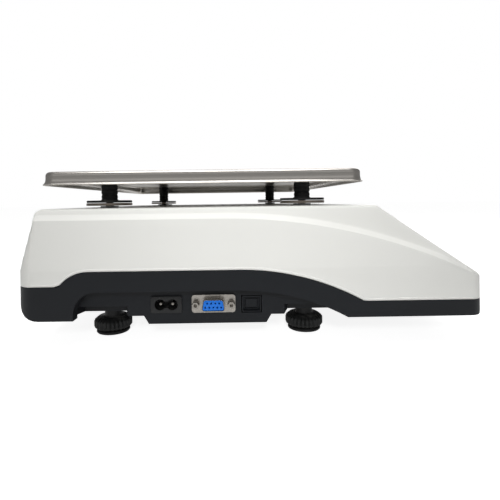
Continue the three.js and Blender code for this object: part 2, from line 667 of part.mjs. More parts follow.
function contactHoles(mouthX) {
  const rows = [{ count: 4, z: PORT_Z + CONTACT.dz }, { count: 5, z: PORT_Z - CONTACT.dz }];
  return rows.flatMap(({ count, z }) =>
    Array.from({ length: count }, (_, index) => {
      const y = SERIAL.y + (index - (count - 1) / 2) * CONTACT.pitch;
      return rodAlongX(y, z, CONTACT.r, -FAR, mouthX + CONTACT.depth, 8);
    }),
  );
}

// A hexagonal pillar screw, with a threaded bore in its head.
function serialScrews(front, screwY) {
  const headEnd = front - GAP - SCREW.headLength;
  const boreEnd = front - GAP - SCREW.headLength / 3;
  return ["front", "rear"].map((name, index) => {
    const y = screwY[index];
    const head = rodAlongX(y, PORT_Z, SCREW.headR, headEnd, front - GAP, 6);
    const shank = rodAlongX(y, PORT_Z, SCREW.shankR, boreEnd, 3 * WALL - PANEL_X, 12);
    const bore = rodAlongX(y, PORT_Z, SCREW.boreR, -FAR, boreEnd, 12);
    return mesh(`serial_screw_${name}`, head.add(shank).subtract(bore), "nickel");
  });
}

function portBlank() {
  const { y, z, sizeY, sizeZ, recess, depth, wall } = BLANK;
  const cup = portBlock(y, z, sizeY, sizeZ, -PANEL_X, -PANEL_X + depth);
  const pocket = portBlock(y, z, sizeY - 2 * wall, sizeZ - 2 * wall, -FAR, -PANEL_X + recess);
  return mesh("port_blank", cup.subtract(pocket), "base_black");
}

function powerSwitch() {
  const face = PANEL_X + GAP;
  const { y, z } = SWITCH;
  const { halfY, halfZ, endOut, middleOut, endIn, middleIn } = ROCKER;
  const mouthY = 2 * (halfY + SWITCH_MOUTH.sideY);
  const mouthZ = 2 * (halfZ + SWITCH_MOUTH.sideZ);
  const flange = portBlock(y, z, SWITCH.flangeY, SWITCH.flangeZ, face, face + SWITCH.lip);
  const body = portBlock(y, z, SWITCH.bodyY, SWITCH.bodyZ, face - SWITCH.depth, face + SWITCH.lip);
  const mouth = portBlock(y, z, mouthY, mouthZ, face - SWITCH_MOUTH.depth, FAR);
  const side = outline([
    [-endIn, -halfY],
    [endOut, -halfY],
    [middleOut, 0],
    [endOut, halfY],
    [-endIn, halfY],
    [-middleIn, 0],
  ]);
  const rocker = extrude(side, 2 * halfZ, 1);
  rocker.translate(0, 0, -halfZ);
  const rock = mesh("switch_rocker", solidSurface(rocker), "socket_black");
  rock.position.set(face - ROCKER.pivotIn, y, z);
  rock.rotation.z = -SWITCH_TILT;
  return [mesh("switch_body", flange.add(body).subtract(mouth), "socket_black"), rock];
}

// ---- Power and electronics ---------------------------------------------------------------------

function battery() {
  const { x0, x1, y0, y1, low, top } = BATTERY;
  const { fromEnd, half, height } = TERMINAL;
  const tabX = x0 + TERMINAL.x;
  const tabs = [y0 + fromEnd, y1 - fromEnd].map((y) =>
    block(tabX - half, tabX + half, y - half, y + half, low, top + height),
  );
  return mesh("battery", join([block(x0, x1, y0, y1, low, top), ...tabs]), "battery_grey");
}

function batteryDoor() {
  const { x0, x1, y0, y1 } = DOOR;
  return mesh("battery_door", block(x0, x1, y0, y1, BOX.z, BOX.z + WALL), "base_black");
}

function transformer() {
  const low = CHASSIS.top + GAP;
  const core = block(CORE.x0, CORE.x1, CORE.y0, CORE.y1, low, low + CORE.height);
  const { x0, x1, y0, y1 } = WINDING;
  const winding = block(x0, x1, y0, y1, low + WINDING.low, low + WINDING.top);
  return mesh("transformer", core.add(winding), "core_steel");
}

function mainBoard() {
  const { halfX, y0, y1, low, thick, chipHeight } = MAIN_BOARD;
  const chipTop = low + thick + chipHeight;
  const board = block(-halfX, halfX, y0, y1, low, low + thick);
  const chips = CHIPS.map(({ x, y, width, depth }) => block(x, x + width, y, y + depth, low, chipTop));
  return mesh("main_board", join([board, ...chips]), "board_green");
}

function bubbleLevel() {
  const { x, y, r, flangeR, low, top } = LEVEL;
  const flange = column(x, y, flangeR, TOP_Z + GAP, top);
  return mesh("bubble_level", column(x, y, r, low, top).add(flange), "window_clear");
}

// ---- Front panel: everything here is drawn in the plane of the slope ------------------------------

function slopePrism(shape, z0, z1, curveSegments = 1) {
  const geometry = extrude(shape, z1 - z0, curveSegments);
  geometry.translate(0, 0, z0);
  return geometry;
}

function keyPlaces() {
  const places = [];
  const { columns, rows, pitchX, pitchY } = KEYPAD;
  for (let row = 0; row < rows; row += 1) {
    for (let across = 0; across < columns; across += 1) {
      const x = KEYPAD.x + (across - (columns - 1) / 2) * pitchX;
      const y = ((rows - 1) / 2 - row) * pitchY;
      places.push({ name: `key_${row + 1}_${across + 1}`, x, y, last: across === columns - 1 });
    }
  }
  return places;
}

function facePanel() {
  const plate = roundedRect(FACE.halfX, FACE.halfY, FACE.cornerR);
  const { x, y, halfX, halfY, cornerR } = WINDOW;
  plate.holes.push(roundedRect(halfX + SLACK, halfY + SLACK, cornerR, x, y));
  for (const place of keyPlaces()) {
    plate.holes.push(roundedRect(KEY.halfX + SLACK, KEY.halfY + SLACK, KEY.r, place.x, place.y));
  }
  const film = slopePrism(plate, FACE.proud - FACE.thick, FACE.proud);
  return mesh("face_panel", solidSurface(film), "face_grey");
}

function displayPieces() {
  const { x, y, halfX, halfY, cornerR, thick, sunk } = WINDOW;
  const top = FACE.proud - sunk;
  const pane = slopePrism(roundedRect(halfX, halfY, cornerR, x, y), top - thick, top);
  const { margin, belowWindow } = DISPLAY;
  const glass = roundedRect(halfX - margin, halfY - margin, 1, x, y);
  const module = slopePrism(glass, ON_BOARD, top - thick - belowWindow);
  const boardX = FACE.halfX - BOARD.marginX;
  const boardY = FACE.halfY - BOARD.marginY;
  const boardEdge = roundedRect(boardX, boardY, BOARD.cornerR);
  const board = slopePrism(boardEdge, -BOARD.deep, BOARD.thick - BOARD.deep);
  const matX = (KEYPAD.columns / 2) * KEYPAD.pitchX;
  const matY = (KEYPAD.rows / 2) * KEYPAD.pitchY;
  const matEdge = roundedRect(matX, matY, 1, KEYPAD.x, 0);
  const mat = slopePrism(matEdge, ON_BOARD, ON_BOARD + KEY_MAT_THICK);
  return [
    mesh("display_window", solidSurface(pane), "window_clear"),
    mesh("display_module", solidSurface(module), "display_green"),
    mesh("display_board", solidSurface(board), "board_green"),
    mesh("key_mat", solidSurface(mat), "rubber_black"),
  ];
}

function keys() {
  const top = KEY.out + FACE.proud;
  return keyPlaces().map(({ name, x, y, last }) => {
    const cap = solidSurface(slopePrism(roundedRect(KEY.halfX, KEY.halfY, KEY.r), -KEY.deep, top));
    const key = mesh(name, cap, last ? "key_blue" : "key_light");
    key.position.set(x, y, 0);
    return key;
  });
}

function slopeGroup() {
  const group = new THREE.Group();
  group.add(facePanel(), ...displayPieces(), ...keys());
  group.position.set(0, SLOPE_MIDDLE.y, SLOPE_MIDDLE.z);
  group.rotation.x = SLOPE_ANGLE;
  return group;
}

// ---- The whole scale ---------------------------------------------------------------------------

const scale = new THREE.Group();
scale.add(topCover(), baseHousing(), chassisPlate(), loadCell(), ...cellSpacers(), panFrame());
scale.add(...panPosts(), weighingPan(), ...feet());
scale.add(...mainsInlet(), ...serialSocket(), portBlank(), ...powerSwitch());
scale.add(battery(), batteryDoor(), transformer(), mainBoard(), bubbleLevel(), slopeGroup());

export default scale;
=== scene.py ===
"""A counting scale: its looks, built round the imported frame.

Lengths are in millimetres, and each mesh is brought to metres when it is finished. X is to the user's right,
-Y towards the user and Z up, as in the frame. The left side, with the sockets, faces the camera.
"""
import json
import math

import bmesh
import bpy
from mathutils import Matrix, Vector


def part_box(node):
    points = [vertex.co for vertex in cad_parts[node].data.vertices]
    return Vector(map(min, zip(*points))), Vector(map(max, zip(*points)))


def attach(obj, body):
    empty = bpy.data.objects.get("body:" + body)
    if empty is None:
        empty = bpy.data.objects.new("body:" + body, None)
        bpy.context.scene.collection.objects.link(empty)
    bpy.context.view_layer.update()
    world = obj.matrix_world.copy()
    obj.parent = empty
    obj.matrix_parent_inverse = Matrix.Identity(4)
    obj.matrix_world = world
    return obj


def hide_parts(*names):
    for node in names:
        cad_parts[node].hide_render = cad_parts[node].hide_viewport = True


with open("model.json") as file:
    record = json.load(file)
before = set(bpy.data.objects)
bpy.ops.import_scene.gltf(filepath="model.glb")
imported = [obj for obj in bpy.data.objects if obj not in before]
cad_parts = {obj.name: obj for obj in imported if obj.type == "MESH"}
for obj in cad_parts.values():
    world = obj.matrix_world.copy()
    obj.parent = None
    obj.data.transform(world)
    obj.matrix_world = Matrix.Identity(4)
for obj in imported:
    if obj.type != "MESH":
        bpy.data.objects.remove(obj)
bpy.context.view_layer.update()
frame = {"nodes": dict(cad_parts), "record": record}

MM = 0.001
NODES = frame["nodes"]
SMOOTH_ANGLE = math.radians(35)


# ---- Sizes taken from the frame ------------------------------------------------------------------------


def box_mm(node):
    """The lowest and highest corner of a CAD node, in millimetres."""
    low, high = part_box(node)
    return low / MM, high / MM


def centre_mm(node):
    low, high = box_mm(node)
    return (low + high) / 2


BODY_LOW, BODY_HIGH = box_mm("top_cover")
FRONT_Y, REAR_Y = BODY_LOW.y, -BODY_LOW.y
SIDE_X, TOP_Z = BODY_HIGH.x, BODY_HIGH.z
CORNERS = ("front_left", "front_right", "rear_left", "rear_right")

# Body shape: where the side walls and the rear wall start to lean, and the crest over each side
FRONT_CORNER_R = 12
REAR_CORNER_R = 15
DRAFT_START_Z = 54
CREST_X, CREST_Y, CREST_Z, CREST_R = 154, 18.5, 88.4, 395
LEDGE_X, LEDGE_RISE = 150.6, 3.9
STEP_X = 148.8
STEP_HEIGHT = TOP_Z - CREST_Z
REAR_LEAN_Z = 55.5
REAR_TOP = (153, 90)
SLOPE_TOP_Y, SLOPE_FOOT_Z = -91, 47
SLOPE_ANGLE = math.atan2(TOP_Z - SLOPE_FOOT_Z, SLOPE_TOP_Y - FRONT_Y)
WALL = 2.5
LIP = 0.45  # how far the wall stands back above its lower lip
POST_HOLE_R = 8
LEVEL_HOLE_R = 7.5

# The seam between cover and base, seen from the side
SEAM_REAR_Z, SEAM_REAR_Y, SEAM_REAR_R = 43.5, 111, 24.8
SEAM_Z, SEAM_FRONT_Y, SEAM_FRONT_R, SEAM_FRONT_Z = 53.5, 8, 176, 31


# ---- Camera, light and floor ---------------------------------------------------------------------------


def add_camera():
    """Close to the left side, level with the top of the body, looking a little off square."""
    data = bpy.data.cameras.new("camera")
    data.sensor_width = 36
    data.lens = 26.65
    data.shift_x = 0.0357
    data.shift_y = -0.0947
    data.clip_start = 0.01
    camera = bpy.data.objects.new("camera", data)
    ahead = Vector((1, -0.0049, -0.0026)).normalized()
    right = Vector((-0.0049, -1, -0.0140))
    right = (right - ahead * right.dot(ahead)).normalized()
    up = right.cross(ahead)
    turn = Matrix((right, up, -ahead)).transposed().to_4x4()
    camera.matrix_world = Matrix.Translation(Vector((-410.5, 12.8, 100.0)) * MM) @ turn
    bpy.context.scene.collection.objects.link(camera)
    bpy.context.scene.camera = camera


def add_softbox(name, place, aim, size, watts, spread=180, mirrored=True):
    """A soft light. Unmirrored, it lights the object without showing in its shiny surfaces."""
    data = bpy.data.lights.new(name, "AREA")
    data.shape = "RECTANGLE"
    data.size, data.size_y = size
    data.energy = watts
    data.spread = math.radians(spread)
    light = bpy.data.objects.new(name, data)
    light.location = place
    light.visible_glossy = mirrored
    light.rotation_euler = (Vector(aim) - Vector(place)).to_track_quat("-Z", "Y").to_euler()
    bpy.context.scene.collection.objects.link(light)


def add_world():
    """White behind everything, and a softer even light on the object itself."""
    world = bpy.data.worlds.new("studio")
    world.use_nodes = True
    tree = world.node_tree
    background = tree.nodes["Background"]
    background.inputs["Color"].default_value = (1, 1, 1, 1)
    path = tree.nodes.new("ShaderNodeLightPath")
    strength = tree.nodes.new("ShaderNodeMix")
    strength.inputs["A"].default_value = 0.21
    strength.inputs["B"].default_value = 1.0
    tree.links.new(path.outputs["Is Camera Ray"], strength.inputs["Factor"])
    tree.links.new(strength.outputs["Result"], background.inputs["Strength"])
    bpy.context.scene.world = world


def add_floor():
    bm = bmesh.new()
    bmesh.ops.create_grid(bm, x_segments=1, y_segments=1, size=12)
    mesh = bpy.data.meshes.new("floor")
    bm.to_mesh(mesh)
    bm.free()
    floor = bpy.data.objects.new("floor", mesh)
    floor.location.z = -0.0002
    bpy.context.scene.collection.objects.link(floor)
    paint = bpy.data.materials.new("floor_white")
    paint.use_nodes = True
    tree = paint.node_tree
    surface = tree.nodes["Principled BSDF"]
    surface.inputs["Base Color"].default_value = (0.5, 0.5, 0.5, 1)
    surface.inputs["Roughness"].default_value = 0.8
    surface.inputs["Specular IOR Level"].default_value = 0.1
    surface.inputs["Emission Color"].default_value = (1, 1, 1, 1)
    path = tree.nodes.new("ShaderNodeLightPath")
    glow = tree.nodes.new("ShaderNodeMix")
    glow.inputs["A"].default_value = 0.2
    glow.inputs["B"].default_value = 0.88
    tree.links.new(path.outputs["Is Camera Ray"], glow.inputs["Factor"])
    tree.links.new(glow.outputs["Result"], surface.inputs["Emission Strength"])
    mesh.materials.append(paint)


def light_the_scene():
    bpy.context.scene.view_settings.view_transform = "Standard"
    add_world()
    add_floor()
    add_softbox("overhead", (-0.15, 0.05, 1.1), (0, 0.02, 0.05), (0.9, 0.9), 9)
    add_softbox("skirt_glow", (-1.3, 0.03, 0.65), (-0.15, 0.03, 0.1), (2.4, 0.5), 1.3)
    add_softbox("side_beam", (-1.1, 0.02, 0.5), (-0.158, 0, 0.07), (0.15, 0.15), 0.134, 28, mirrored=False)
    add_softbox("backdrop", (1.4, 0.02, 0.45), (0, 0.02, 0.1), (2.2, 1.0), 7)
    add_softbox("far_side", (0.9, -0.5, 0.7), (0, 0, 0.05), (0.7, 0.7), 2)


# ---- Shader maths --------------------------------------------------------------------------------------


class Value:
    """A number or colour that varies over a surface. Arithmetic on it adds Math nodes."""

    def __init__(self, shader, socket):
        self.shader = shader
        self.socket = socket

    def maths(self, operation, *others):
        inputs = {0: self, **{i + 1: other for i, other in enumerate(others)}}
        return self.shader.node("Math", {"operation": operation}, inputs)

    def __add__(self, other):
        return self.maths("ADD", other)

    def __mul__(self, other):
        return self.maths("MULTIPLY", other)

    def __sub__(self, other):
        return self.maths("SUBTRACT", other)

    def __rsub__(self, other):
        return (self * -1) + other

    def __neg__(self):
        return self * -1

    def __pow__(self, other):
        return self.maths("POWER", other)

    __radd__ = __add__
    __rmul__ = __mul__

    def clamped(self):
        return self.maths("MAXIMUM", 0).maths("MINIMUM", 1)

    def ramp(self, low, high):
        """0 below low, 1 above high, and smooth between them."""
        settings = {"interpolation_type": "SMOOTHSTEP"}
        return self.shader.node("MapRange", settings, {"Value": self, "From Min": low, "From Max": high})


class Shader:
    """One finish being mixed. node() adds any node and returns one of its outputs as a Value."""

    def __init__(self, name):
        self.material = bpy.data.materials.new(name)
        self.material.use_nodes = True
        self.tree = self.material.node_tree
        self.surface = self.tree.nodes["Principled BSDF"]

    def node(self, kind, settings, inputs, output=0):
        made = self.tree.nodes.new("ShaderNode" + kind)
        for name, setting in settings.items():
            if name == "stops":
                self.set_stops(made.color_ramp, setting)
            else:
                setattr(made, name, setting)
        for name, value in inputs.items():
            self.feed(made.inputs[name], value)
        return Value(self, made.outputs[output])

    def set_stops(self, ramp, stops):
        while len(ramp.elements) < len(stops):
            ramp.elements.new(1)
        for element, (place, colour) in zip(ramp.elements, stops):
            element.position = place
            element.color = (*colour, 1)

    def feed(self, socket, value):
        if isinstance(value, Value):
            self.tree.links.new(value.socket, socket)
        elif socket.type == "RGBA" and len(value) == 3:
            socket.default_value = (*value, 1)
        else:
            socket.default_value = value

    def set(self, **values):
        """Sets or links the surface's own sockets: base_color, roughness and so on."""
        for name, value in values.items():
            self.feed(self.surface.inputs[name.replace("_", " ").title().replace("Ior", "IOR")], value)
        return self

    def place(self, scale=(1, 1, 1), turn=(0, 0, 0)):
        """Object coordinates, scaled and turned."""
        point = self.node("TexCoord", {}, {}, "Object")
        return self.node("Mapping", {}, {"Vector": point, "Scale": scale, "Rotation": turn})

    def part(self, vector, axis):
        return self.node("SeparateXYZ", {}, {"Vector": vector}, axis)

    def noise(self, scale, detail=2.0, rough=0.5, at=None):
        """Soft random values from 0 to 1. Scale is the number of lumps to a metre."""
        at = at or self.place()
        inputs = {"Vector": at, "Scale": scale, "Detail": detail, "Roughness": rough}
        return self.node("TexNoise", {}, inputs)

    def mix(self, share, first, second):
        return self.node("Mix", {"data_type": "RGBA"}, {0: share, 6: first, 7: second}, 2)

    def bump(self, height, strength, depth):
        """Depth is the real height of the bumps in millimetres."""
        inputs = {"Height": height, "Strength": strength, "Distance": depth * MM}
        self.set(normal=self.node("Bump", {}, inputs))
        return self


def shade(colour, share):
    """A colour made darker, or with a share above 1 lighter."""
    return tuple(min(1, channel * share) for channel in colour)


# ---- Finishes ------------------------------------------------------------------------------------------


def moulded(name, colour, roughness, grain=0.35, depth=0.02, dust=0.04, sheen=0.5):
    """Moulded plastic: fine spark texture, slight flow marks and a little dust on what faces up."""
    s = Shader(name)
    fine = s.noise(1 / (grain * MM), 2, 0.6)
    flow = s.noise(14, 3, 0.6)
    smudge = s.noise(60, 4, 0.65)
    up = s.part(s.node("NewGeometry", {}, {}, "Normal"), "Z").ramp(0.5, 1.0)
    tone = s.mix(flow, shade(colour, 0.965), shade(colour, 1.03))
    dusty = s.mix(up * smudge.ramp(0.45, 0.75) * dust, tone, (0.62, 0.6, 0.56))
    s.set(base_color=dusty, roughness=roughness - 0.06 + smudge * 0.1 + fine * 0.04, specular_ior_level=sheen)
    return s.bump(fine + smudge * 0.3, 0.5, depth).material


def brushed(name, colour, roughness, along, depth=0.006, marks=0.5):
    """Brushed metal: long fine scratches along one axis, with hazy patches and a few finger marks."""
    s = Shader(name)
    scale = tuple(0.02 if axis == along else 1 for axis in "XYZ")
    at = s.place(scale)
    lines = s.noise(5200, 2, 0.7, at)
    broad = s.noise(700, 2, 0.6, at)
    haze = s.noise(18, 3, 0.55)
    tone = s.mix((lines * 0.6 + broad * 0.4).ramp(0.3, 0.7), shade(colour, 0.86), shade(colour, 1.08))
    tone = s.mix(haze.ramp(0.35, 0.75) * 0.25, tone, shade(colour, 0.85))
    s.set(base_color=tone, metallic=1.0)
    s.set(roughness=roughness + (lines - 0.5) * 0.16 + haze * 0.08 * marks)
    return s.bump(lines * 0.7 + broad * 0.3, 0.6, depth).material


def plated(name, colour, roughness, spots=0.3):
    """Plated or cast metal: soft mottling, pits and dulled patches."""
    s = Shader(name)
    mottle = s.noise(220, 4, 0.6)
    fine = s.noise(2400, 2, 0.6)
    dull = s.noise(45, 3, 0.6).ramp(0.45, 0.8)
    tone = s.mix(mottle.ramp(0.3, 0.7), shade(colour, 0.85), shade(colour, 1.05))
    s.set(base_color=s.mix(dull * spots, tone, shade(colour, 0.6)), metallic=1.0)
    s.set(roughness=roughness + mottle * 0.12 + dull * 0.12)
    return s.bump(fine * 0.6 + mottle * 0.4, 0.5, 0.02).material


def rubbery(name, colour):
    """Moulded rubber: matte, faintly bloomed, with fine pimples."""
    s = Shader(name)
    fine = s.noise(2600, 3, 0.6)
    bloom = s.noise(130, 4, 0.6).ramp(0.4, 0.8)
    s.set(base_color=s.mix(bloom * 0.35, colour, (0.06, 0.06, 0.062)), roughness=0.62 + bloom * 0.2)
    s.set(specular_ior_level=0.35)
    return s.bump(fine, 0.6, 0.03).material


def circuit_board(name, colour):
    """Solder resist over copper: straight tracks show as paler green lines."""
    s = Shader(name)
    at = s.place()
    tracks = []
    for axis, pitch in (("X", 2.54), ("Y", 5.08)):
        wave = (s.part(at, axis) * (2 * math.pi / (pitch * MM))).maths("SINE").ramp(0.75, 0.9)
        gate = s.noise(60, 1, 0.5, s.place((1, 1, 1), (0, 0, 1 if axis == "X" else 2))).ramp(0.48, 0.52)
        tracks.append(wave * gate)
    copper = (tracks[0] + tracks[1]).clamped()
    s.set(base_color=s.mix(copper, colour, (0.05, 0.3, 0.13)), roughness=0.42 + copper * -0.12)
    return s.bump(copper, 0.4, 0.04).material


def clear(name, tint):
    """Clear plastic or glass with a few fine wipes in its polish."""
    s = Shader(name)
    wipes = s.noise(1400, 2, 0.6, s.place((0.05, 1, 1), (0, 0, 0.5)))
    s.set(base_color=s.mix(s.noise(30), shade(tint, 0.97), tint), roughness=0.03 + wipes * 0.06)
    s.set(ior=1.49, transmission_weight=0.92)
    return s.bump(wipes, 0.08, 0.004).material


def display_glass(name, colour):
    """The grey-green of an unlit reflective display, with a faint grid."""
    s = Shader(name)
    at = s.place()
    grid = (s.part(at, "X") * (2 * math.pi / (0.6 * MM))).maths("SINE").ramp(0.9, 1.0)
    tone = s.mix(s.noise(25, 2, 0.5), shade(colour, 0.93), shade(colour, 1.05))
    s.set(base_color=s.mix(grid * 0.25, tone, shade(colour, 0.8)), roughness=0.28 + grid * 0.1)
    return s.bump(grid, 0.1, 0.01).material


def make_finishes():
    """One material for each slot of the record."""
    return {
        "cover_white": moulded("cover_white", (0.8, 0.8, 0.765), 0.36, 0.45, 0.016, 0.06, 0.45),
        "base_black": moulded("base_black", (0.0075, 0.009, 0.0115), 0.46, 0.5, 0.03, 0.08, 0.35),
        "stainless": brushed("stainless", (0.63, 0.6, 0.56), 0.26, "X"),
        "rubber_black": rubbery("rubber_black", (0.012, 0.012, 0.012)),
        "zinc": plated("zinc", (0.34, 0.29, 0.25), 0.28),
        "aluminium": plated("aluminium", (0.68, 0.69, 0.7), 0.38, 0.15),
        "knob_black": moulded("knob_black", (0.009, 0.0095, 0.0095), 0.4, 0.4, 0.02, 0.1),
        "socket_black": moulded("socket_black", (0.008, 0.0085, 0.009), 0.3, 0.3, 0.012, 0.05),
        "socket_blue": moulded("socket_blue", (0.004, 0.16, 0.68), 0.3, 0.3, 0.01, 0.0),
        "nickel": plated("nickel", (0.5, 0.47, 0.43), 0.2, 0.15),
        "face_grey": moulded("face_grey", (0.045, 0.055, 0.068), 0.36, 0.2, 0.008, 0.02),
        "window_clear": clear("window_clear", (0.86, 0.9, 0.92)),
        "display_green": display_glass("display_green", (0.4, 0.45, 0.33)),
        "key_light": moulded("key_light", (0.7, 0.7, 0.68), 0.45, 0.3, 0.012, 0.03),
        "key_blue": moulded("key_blue", (0.03, 0.16, 0.4), 0.45, 0.3, 0.012, 0.03),
        "board_green": circuit_board("board_green", (0.012, 0.12, 0.05)),
        "battery_grey": moulded("battery_grey", (0.1, 0.105, 0.11), 0.5, 0.6, 0.03, 0.1),
        "core_steel": plated("core_steel", (0.2, 0.2, 0.21), 0.5, 0.4),
    }


FINISHES = make_finishes()
SLOTS = {part["node"]: part["material_slot"] for part in frame["record"]["subparts"]}
BODY_OF = {node: body for body, nodes in frame["record"]["behaviour"]["bodies"].items() for node in nodes}


# ---- Making pieces -------------------------------------------------------------------------------------


def finish_piece(name, bm, node, slot=None, stands_for=True, smooth=SMOOTH_ANGLE):
    """Turns a bmesh in millimetres into a piece that rides with a CAD node's body."""
    bmesh.ops.remove_doubles(bm, verts=bm.verts, dist=0.001)
    bmesh.ops.recalc_face_normals(bm, faces=bm.faces)
    bmesh.ops.scale(bm, vec=(MM, MM, MM), verts=bm.verts)
    mesh = bpy.data.meshes.new(name)
    bm.to_mesh(mesh)
    bm.free()
    return dress(name, mesh, node, slot, stands_for, smooth)


def dress(name, mesh, node, slot=None, stands_for=True, smooth=SMOOTH_ANGLE):
    mesh.shade_smooth()
    mesh.set_sharp_from_angle(angle=smooth)
    piece = bpy.data.objects.new(name, mesh)
    bpy.context.scene.collection.objects.link(piece)
    slot = slot or SLOTS[node]
    mesh.materials.clear()
    mesh.materials.append(FINISHES[slot])
    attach(piece, BODY_OF[node])
    if stands_for:
        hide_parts(node)
    return piece


def detail(name, bm, node, slot):
    """A piece that adds to the one standing for its node."""
    return finish_piece(name, bm, node, slot, stands_for=False)


def evaluated_mesh(piece):
    graph = bpy.context.evaluated_depsgraph_get()
    return bpy.data.meshes.new_from_object(piece.evaluated_get(graph), depsgraph=graph)


def stand_in(bm):
    """A throwaway object, for modifiers to work on."""
    mesh = bpy.data.meshes.new("stand_in")
    bm.to_mesh(mesh)
    bm.free()
    made = bpy.data.objects.new("stand_in", mesh)
    bpy.context.scene.collection.objects.link(made)
    return made


def worked(made, *others):
    """The bmesh that a throwaway object's modifiers give. It and the others are then removed."""
    result = bmesh.new()
    result.from_mesh(evaluated_mesh(made))
    for used in (made, *others):
        bpy.data.objects.remove(used)
    return result


def cut_away(bm, cutters):
    """Takes closed cutter meshes out of a closed bmesh with Boolean modifiers, and returns what is left."""
    return combined(stand_in(bm), cutters, "DIFFERENCE")


def combined(blank, others, operation):
    tools = []
    for other in others:
        bmesh.ops.recalc_face_normals(other, faces=other.faces)
        tools.append(stand_in(other))
        modifier = blank.modifiers.new("combine", "BOOLEAN")
        modifier.operation = operation
        modifier.solver = "EXACT"
        modifier.object = tools[-1]
    return worked(blank, *tools)


def column(x, y, r, z0, z1, sides=48):
    bm = bmesh.new()
    place = Matrix.Translation((x, y, (z0 + z1) / 2))
    bmesh.ops.create_cone(
        bm, cap_ends=True, segments=sides, radius1=r, radius2=r, depth=z1 - z0, matrix=place
    )
    return bm


def rounded(bm, edges, r, segments):
    bmesh.ops.bevel(
        bm, geom=edges, offset=r, offset_type="OFFSET",
        affect="EDGES", segments=segments, profile=0.5, material=-1,
    )
    return bm


def rounded_block(size, centre, r, segments=6, turn=None):
    """A block whose four upright edges are rounded."""
    bm = bmesh.new()
    bmesh.ops.create_cube(bm, size=1)
    bmesh.ops.scale(bm, vec=size, verts=bm.verts)
    upright = [e for e in bm.edges if abs(e.verts[0].co.z - e.verts[1].co.z) > size[2] / 2]
    rounded(bm, upright, r, segments)
    if turn:
        bmesh.ops.rotate(bm, verts=bm.verts, matrix=turn)
    bmesh.ops.translate(bm, vec=centre, verts=bm.verts)
    return bm


def fillet_path(corners, straight):
    """A path of straight runs with rounded corners.

    Each corner is (a, b, radius, steps). Straight gives the number of pieces that each run is divided into.
    """
    arcs = []
    for index, (a, b, r, steps) in enumerate(corners):
        here = Vector((a, b))
        if r <= 0 or index in (0, len(corners) - 1):
            arcs.append([here])
            continue
        back = Vector(corners[index - 1][:2]) - here
        on = Vector(corners[index + 1][:2]) - here
        half = back.angle(on) / 2
        reach = min(r / math.tan(half), 0.49 * back.length, 0.49 * on.length)
        start = here + back.normalized() * reach
        end = here + on.normalized() * reach
        points = []
        for step in range(steps + 1):
            t = step / steps
            points.append((1 - t) ** 2 * start + 2 * t * (1 - t) * here + t**2 * end)
        arcs.append(points)
    path = list(arcs[0])
    for index in range(1, len(arcs)):
        start, end = path[-1], arcs[index][0]
        pieces = straight[index - 1]
        path += [start.lerp(end, k / pieces) for k in range(1, pieces)]
        path += arcs[index]
    return path


def turned(profile, steps=64):
    """A body of revolution about Z from a closed (radius, height) profile."""
    bm = bmesh.new()
    ring = [bm.verts.new((r, 0, z)) for r, z in profile]
    edges = [bm.edges.new(pair) for pair in zip(ring, ring[1:] + ring[:1])]
    bmesh.ops.spin(
        bm, geom=ring + edges, cent=(0, 0, 0), axis=(0, 0, 1), angle=math.tau, steps=steps, use_merge=True
    )
    return bm


def thickened(bm, thickness):
    """An open shell given a wall on its inner side."""
    skin = stand_in(bm)
    wall = skin.modifiers.new("wall", "SOLIDIFY")
    wall.thickness = thickness
    wall.offset = -1
    return worked(skin)


def ease(piece, width, segments=2, angle=35):
    """Rounds a piece's sharp edges."""
    bevel = piece.modifiers.new("eased_edges", "BEVEL")
    bevel.width = width * MM
    bevel.segments = segments
    bevel.limit_method = "ANGLE"
    bevel.angle_limit = math.radians(angle)
    bevel.harden_normals = True
    return piece


def joined(*parts):
    """Several bmeshes made one."""
    whole = parts[0]
    for part in parts[1:]:
        mesh = bpy.data.meshes.new("part")
        part.to_mesh(mesh)
        part.free()
        whole.from_mesh(mesh)
        bpy.data.meshes.remove(mesh)
    return whole


def placed(bm, matrix):
    bmesh.ops.transform(bm, matrix=matrix, verts=bm.verts)
    return bm


def soften_rim(bm, z, r, segments=3):
    """Rounds the edges that lie flat at a height, such as a block's top rim."""
    rim = [e for e in bm.edges if all(abs(v.co.z - z) < 0.001 for v in e.verts) and len(e.link_faces) == 2]
    rim = [e for e in rim if e.calc_face_angle(0) > 0.6]
    return rounded(bm, rim, r, segments)


def prism(points, z0, z1):
    """A flat outline in (x, y), raised from z0 to z1."""
    bm = bmesh.new()
    face = bm.faces.new([bm.verts.new((x, y, z0)) for x, y in points])
    raised = bmesh.ops.extrude_face_region(bm, geom=[face])
    top = [v for v in raised["geom"] if isinstance(v, bmesh.types.BMVert)]
    bmesh.ops.translate(bm, vec=(0, 0, z1 - z0), verts=top)
    bm.faces.ensure_lookup_table()
    if not [f for f in bm.faces if all(abs(v.co.z - z0) < 1e-6 for v in f.verts)]:
        bm.faces.new([v for v in bm.verts if abs(v.co.z - z0) < 1e-6])
    bmesh.ops.recalc_face_normals(bm, faces=bm.faces)
    return bm


def round_uprights(bm, r, segments=4):
    upright = [e for e in bm.edges if (e.verts[0].co - e.verts[1].co).to_2d().length < 1e-6]
    return rounded(bm, upright, r, segments)


def slab(size_x, size_y, z0, z1, r, x=0, y=0, segments=5):
    return rounded_block((size_x, size_y, z1 - z0), (x, y, (z0 + z1) / 2), r, segments)


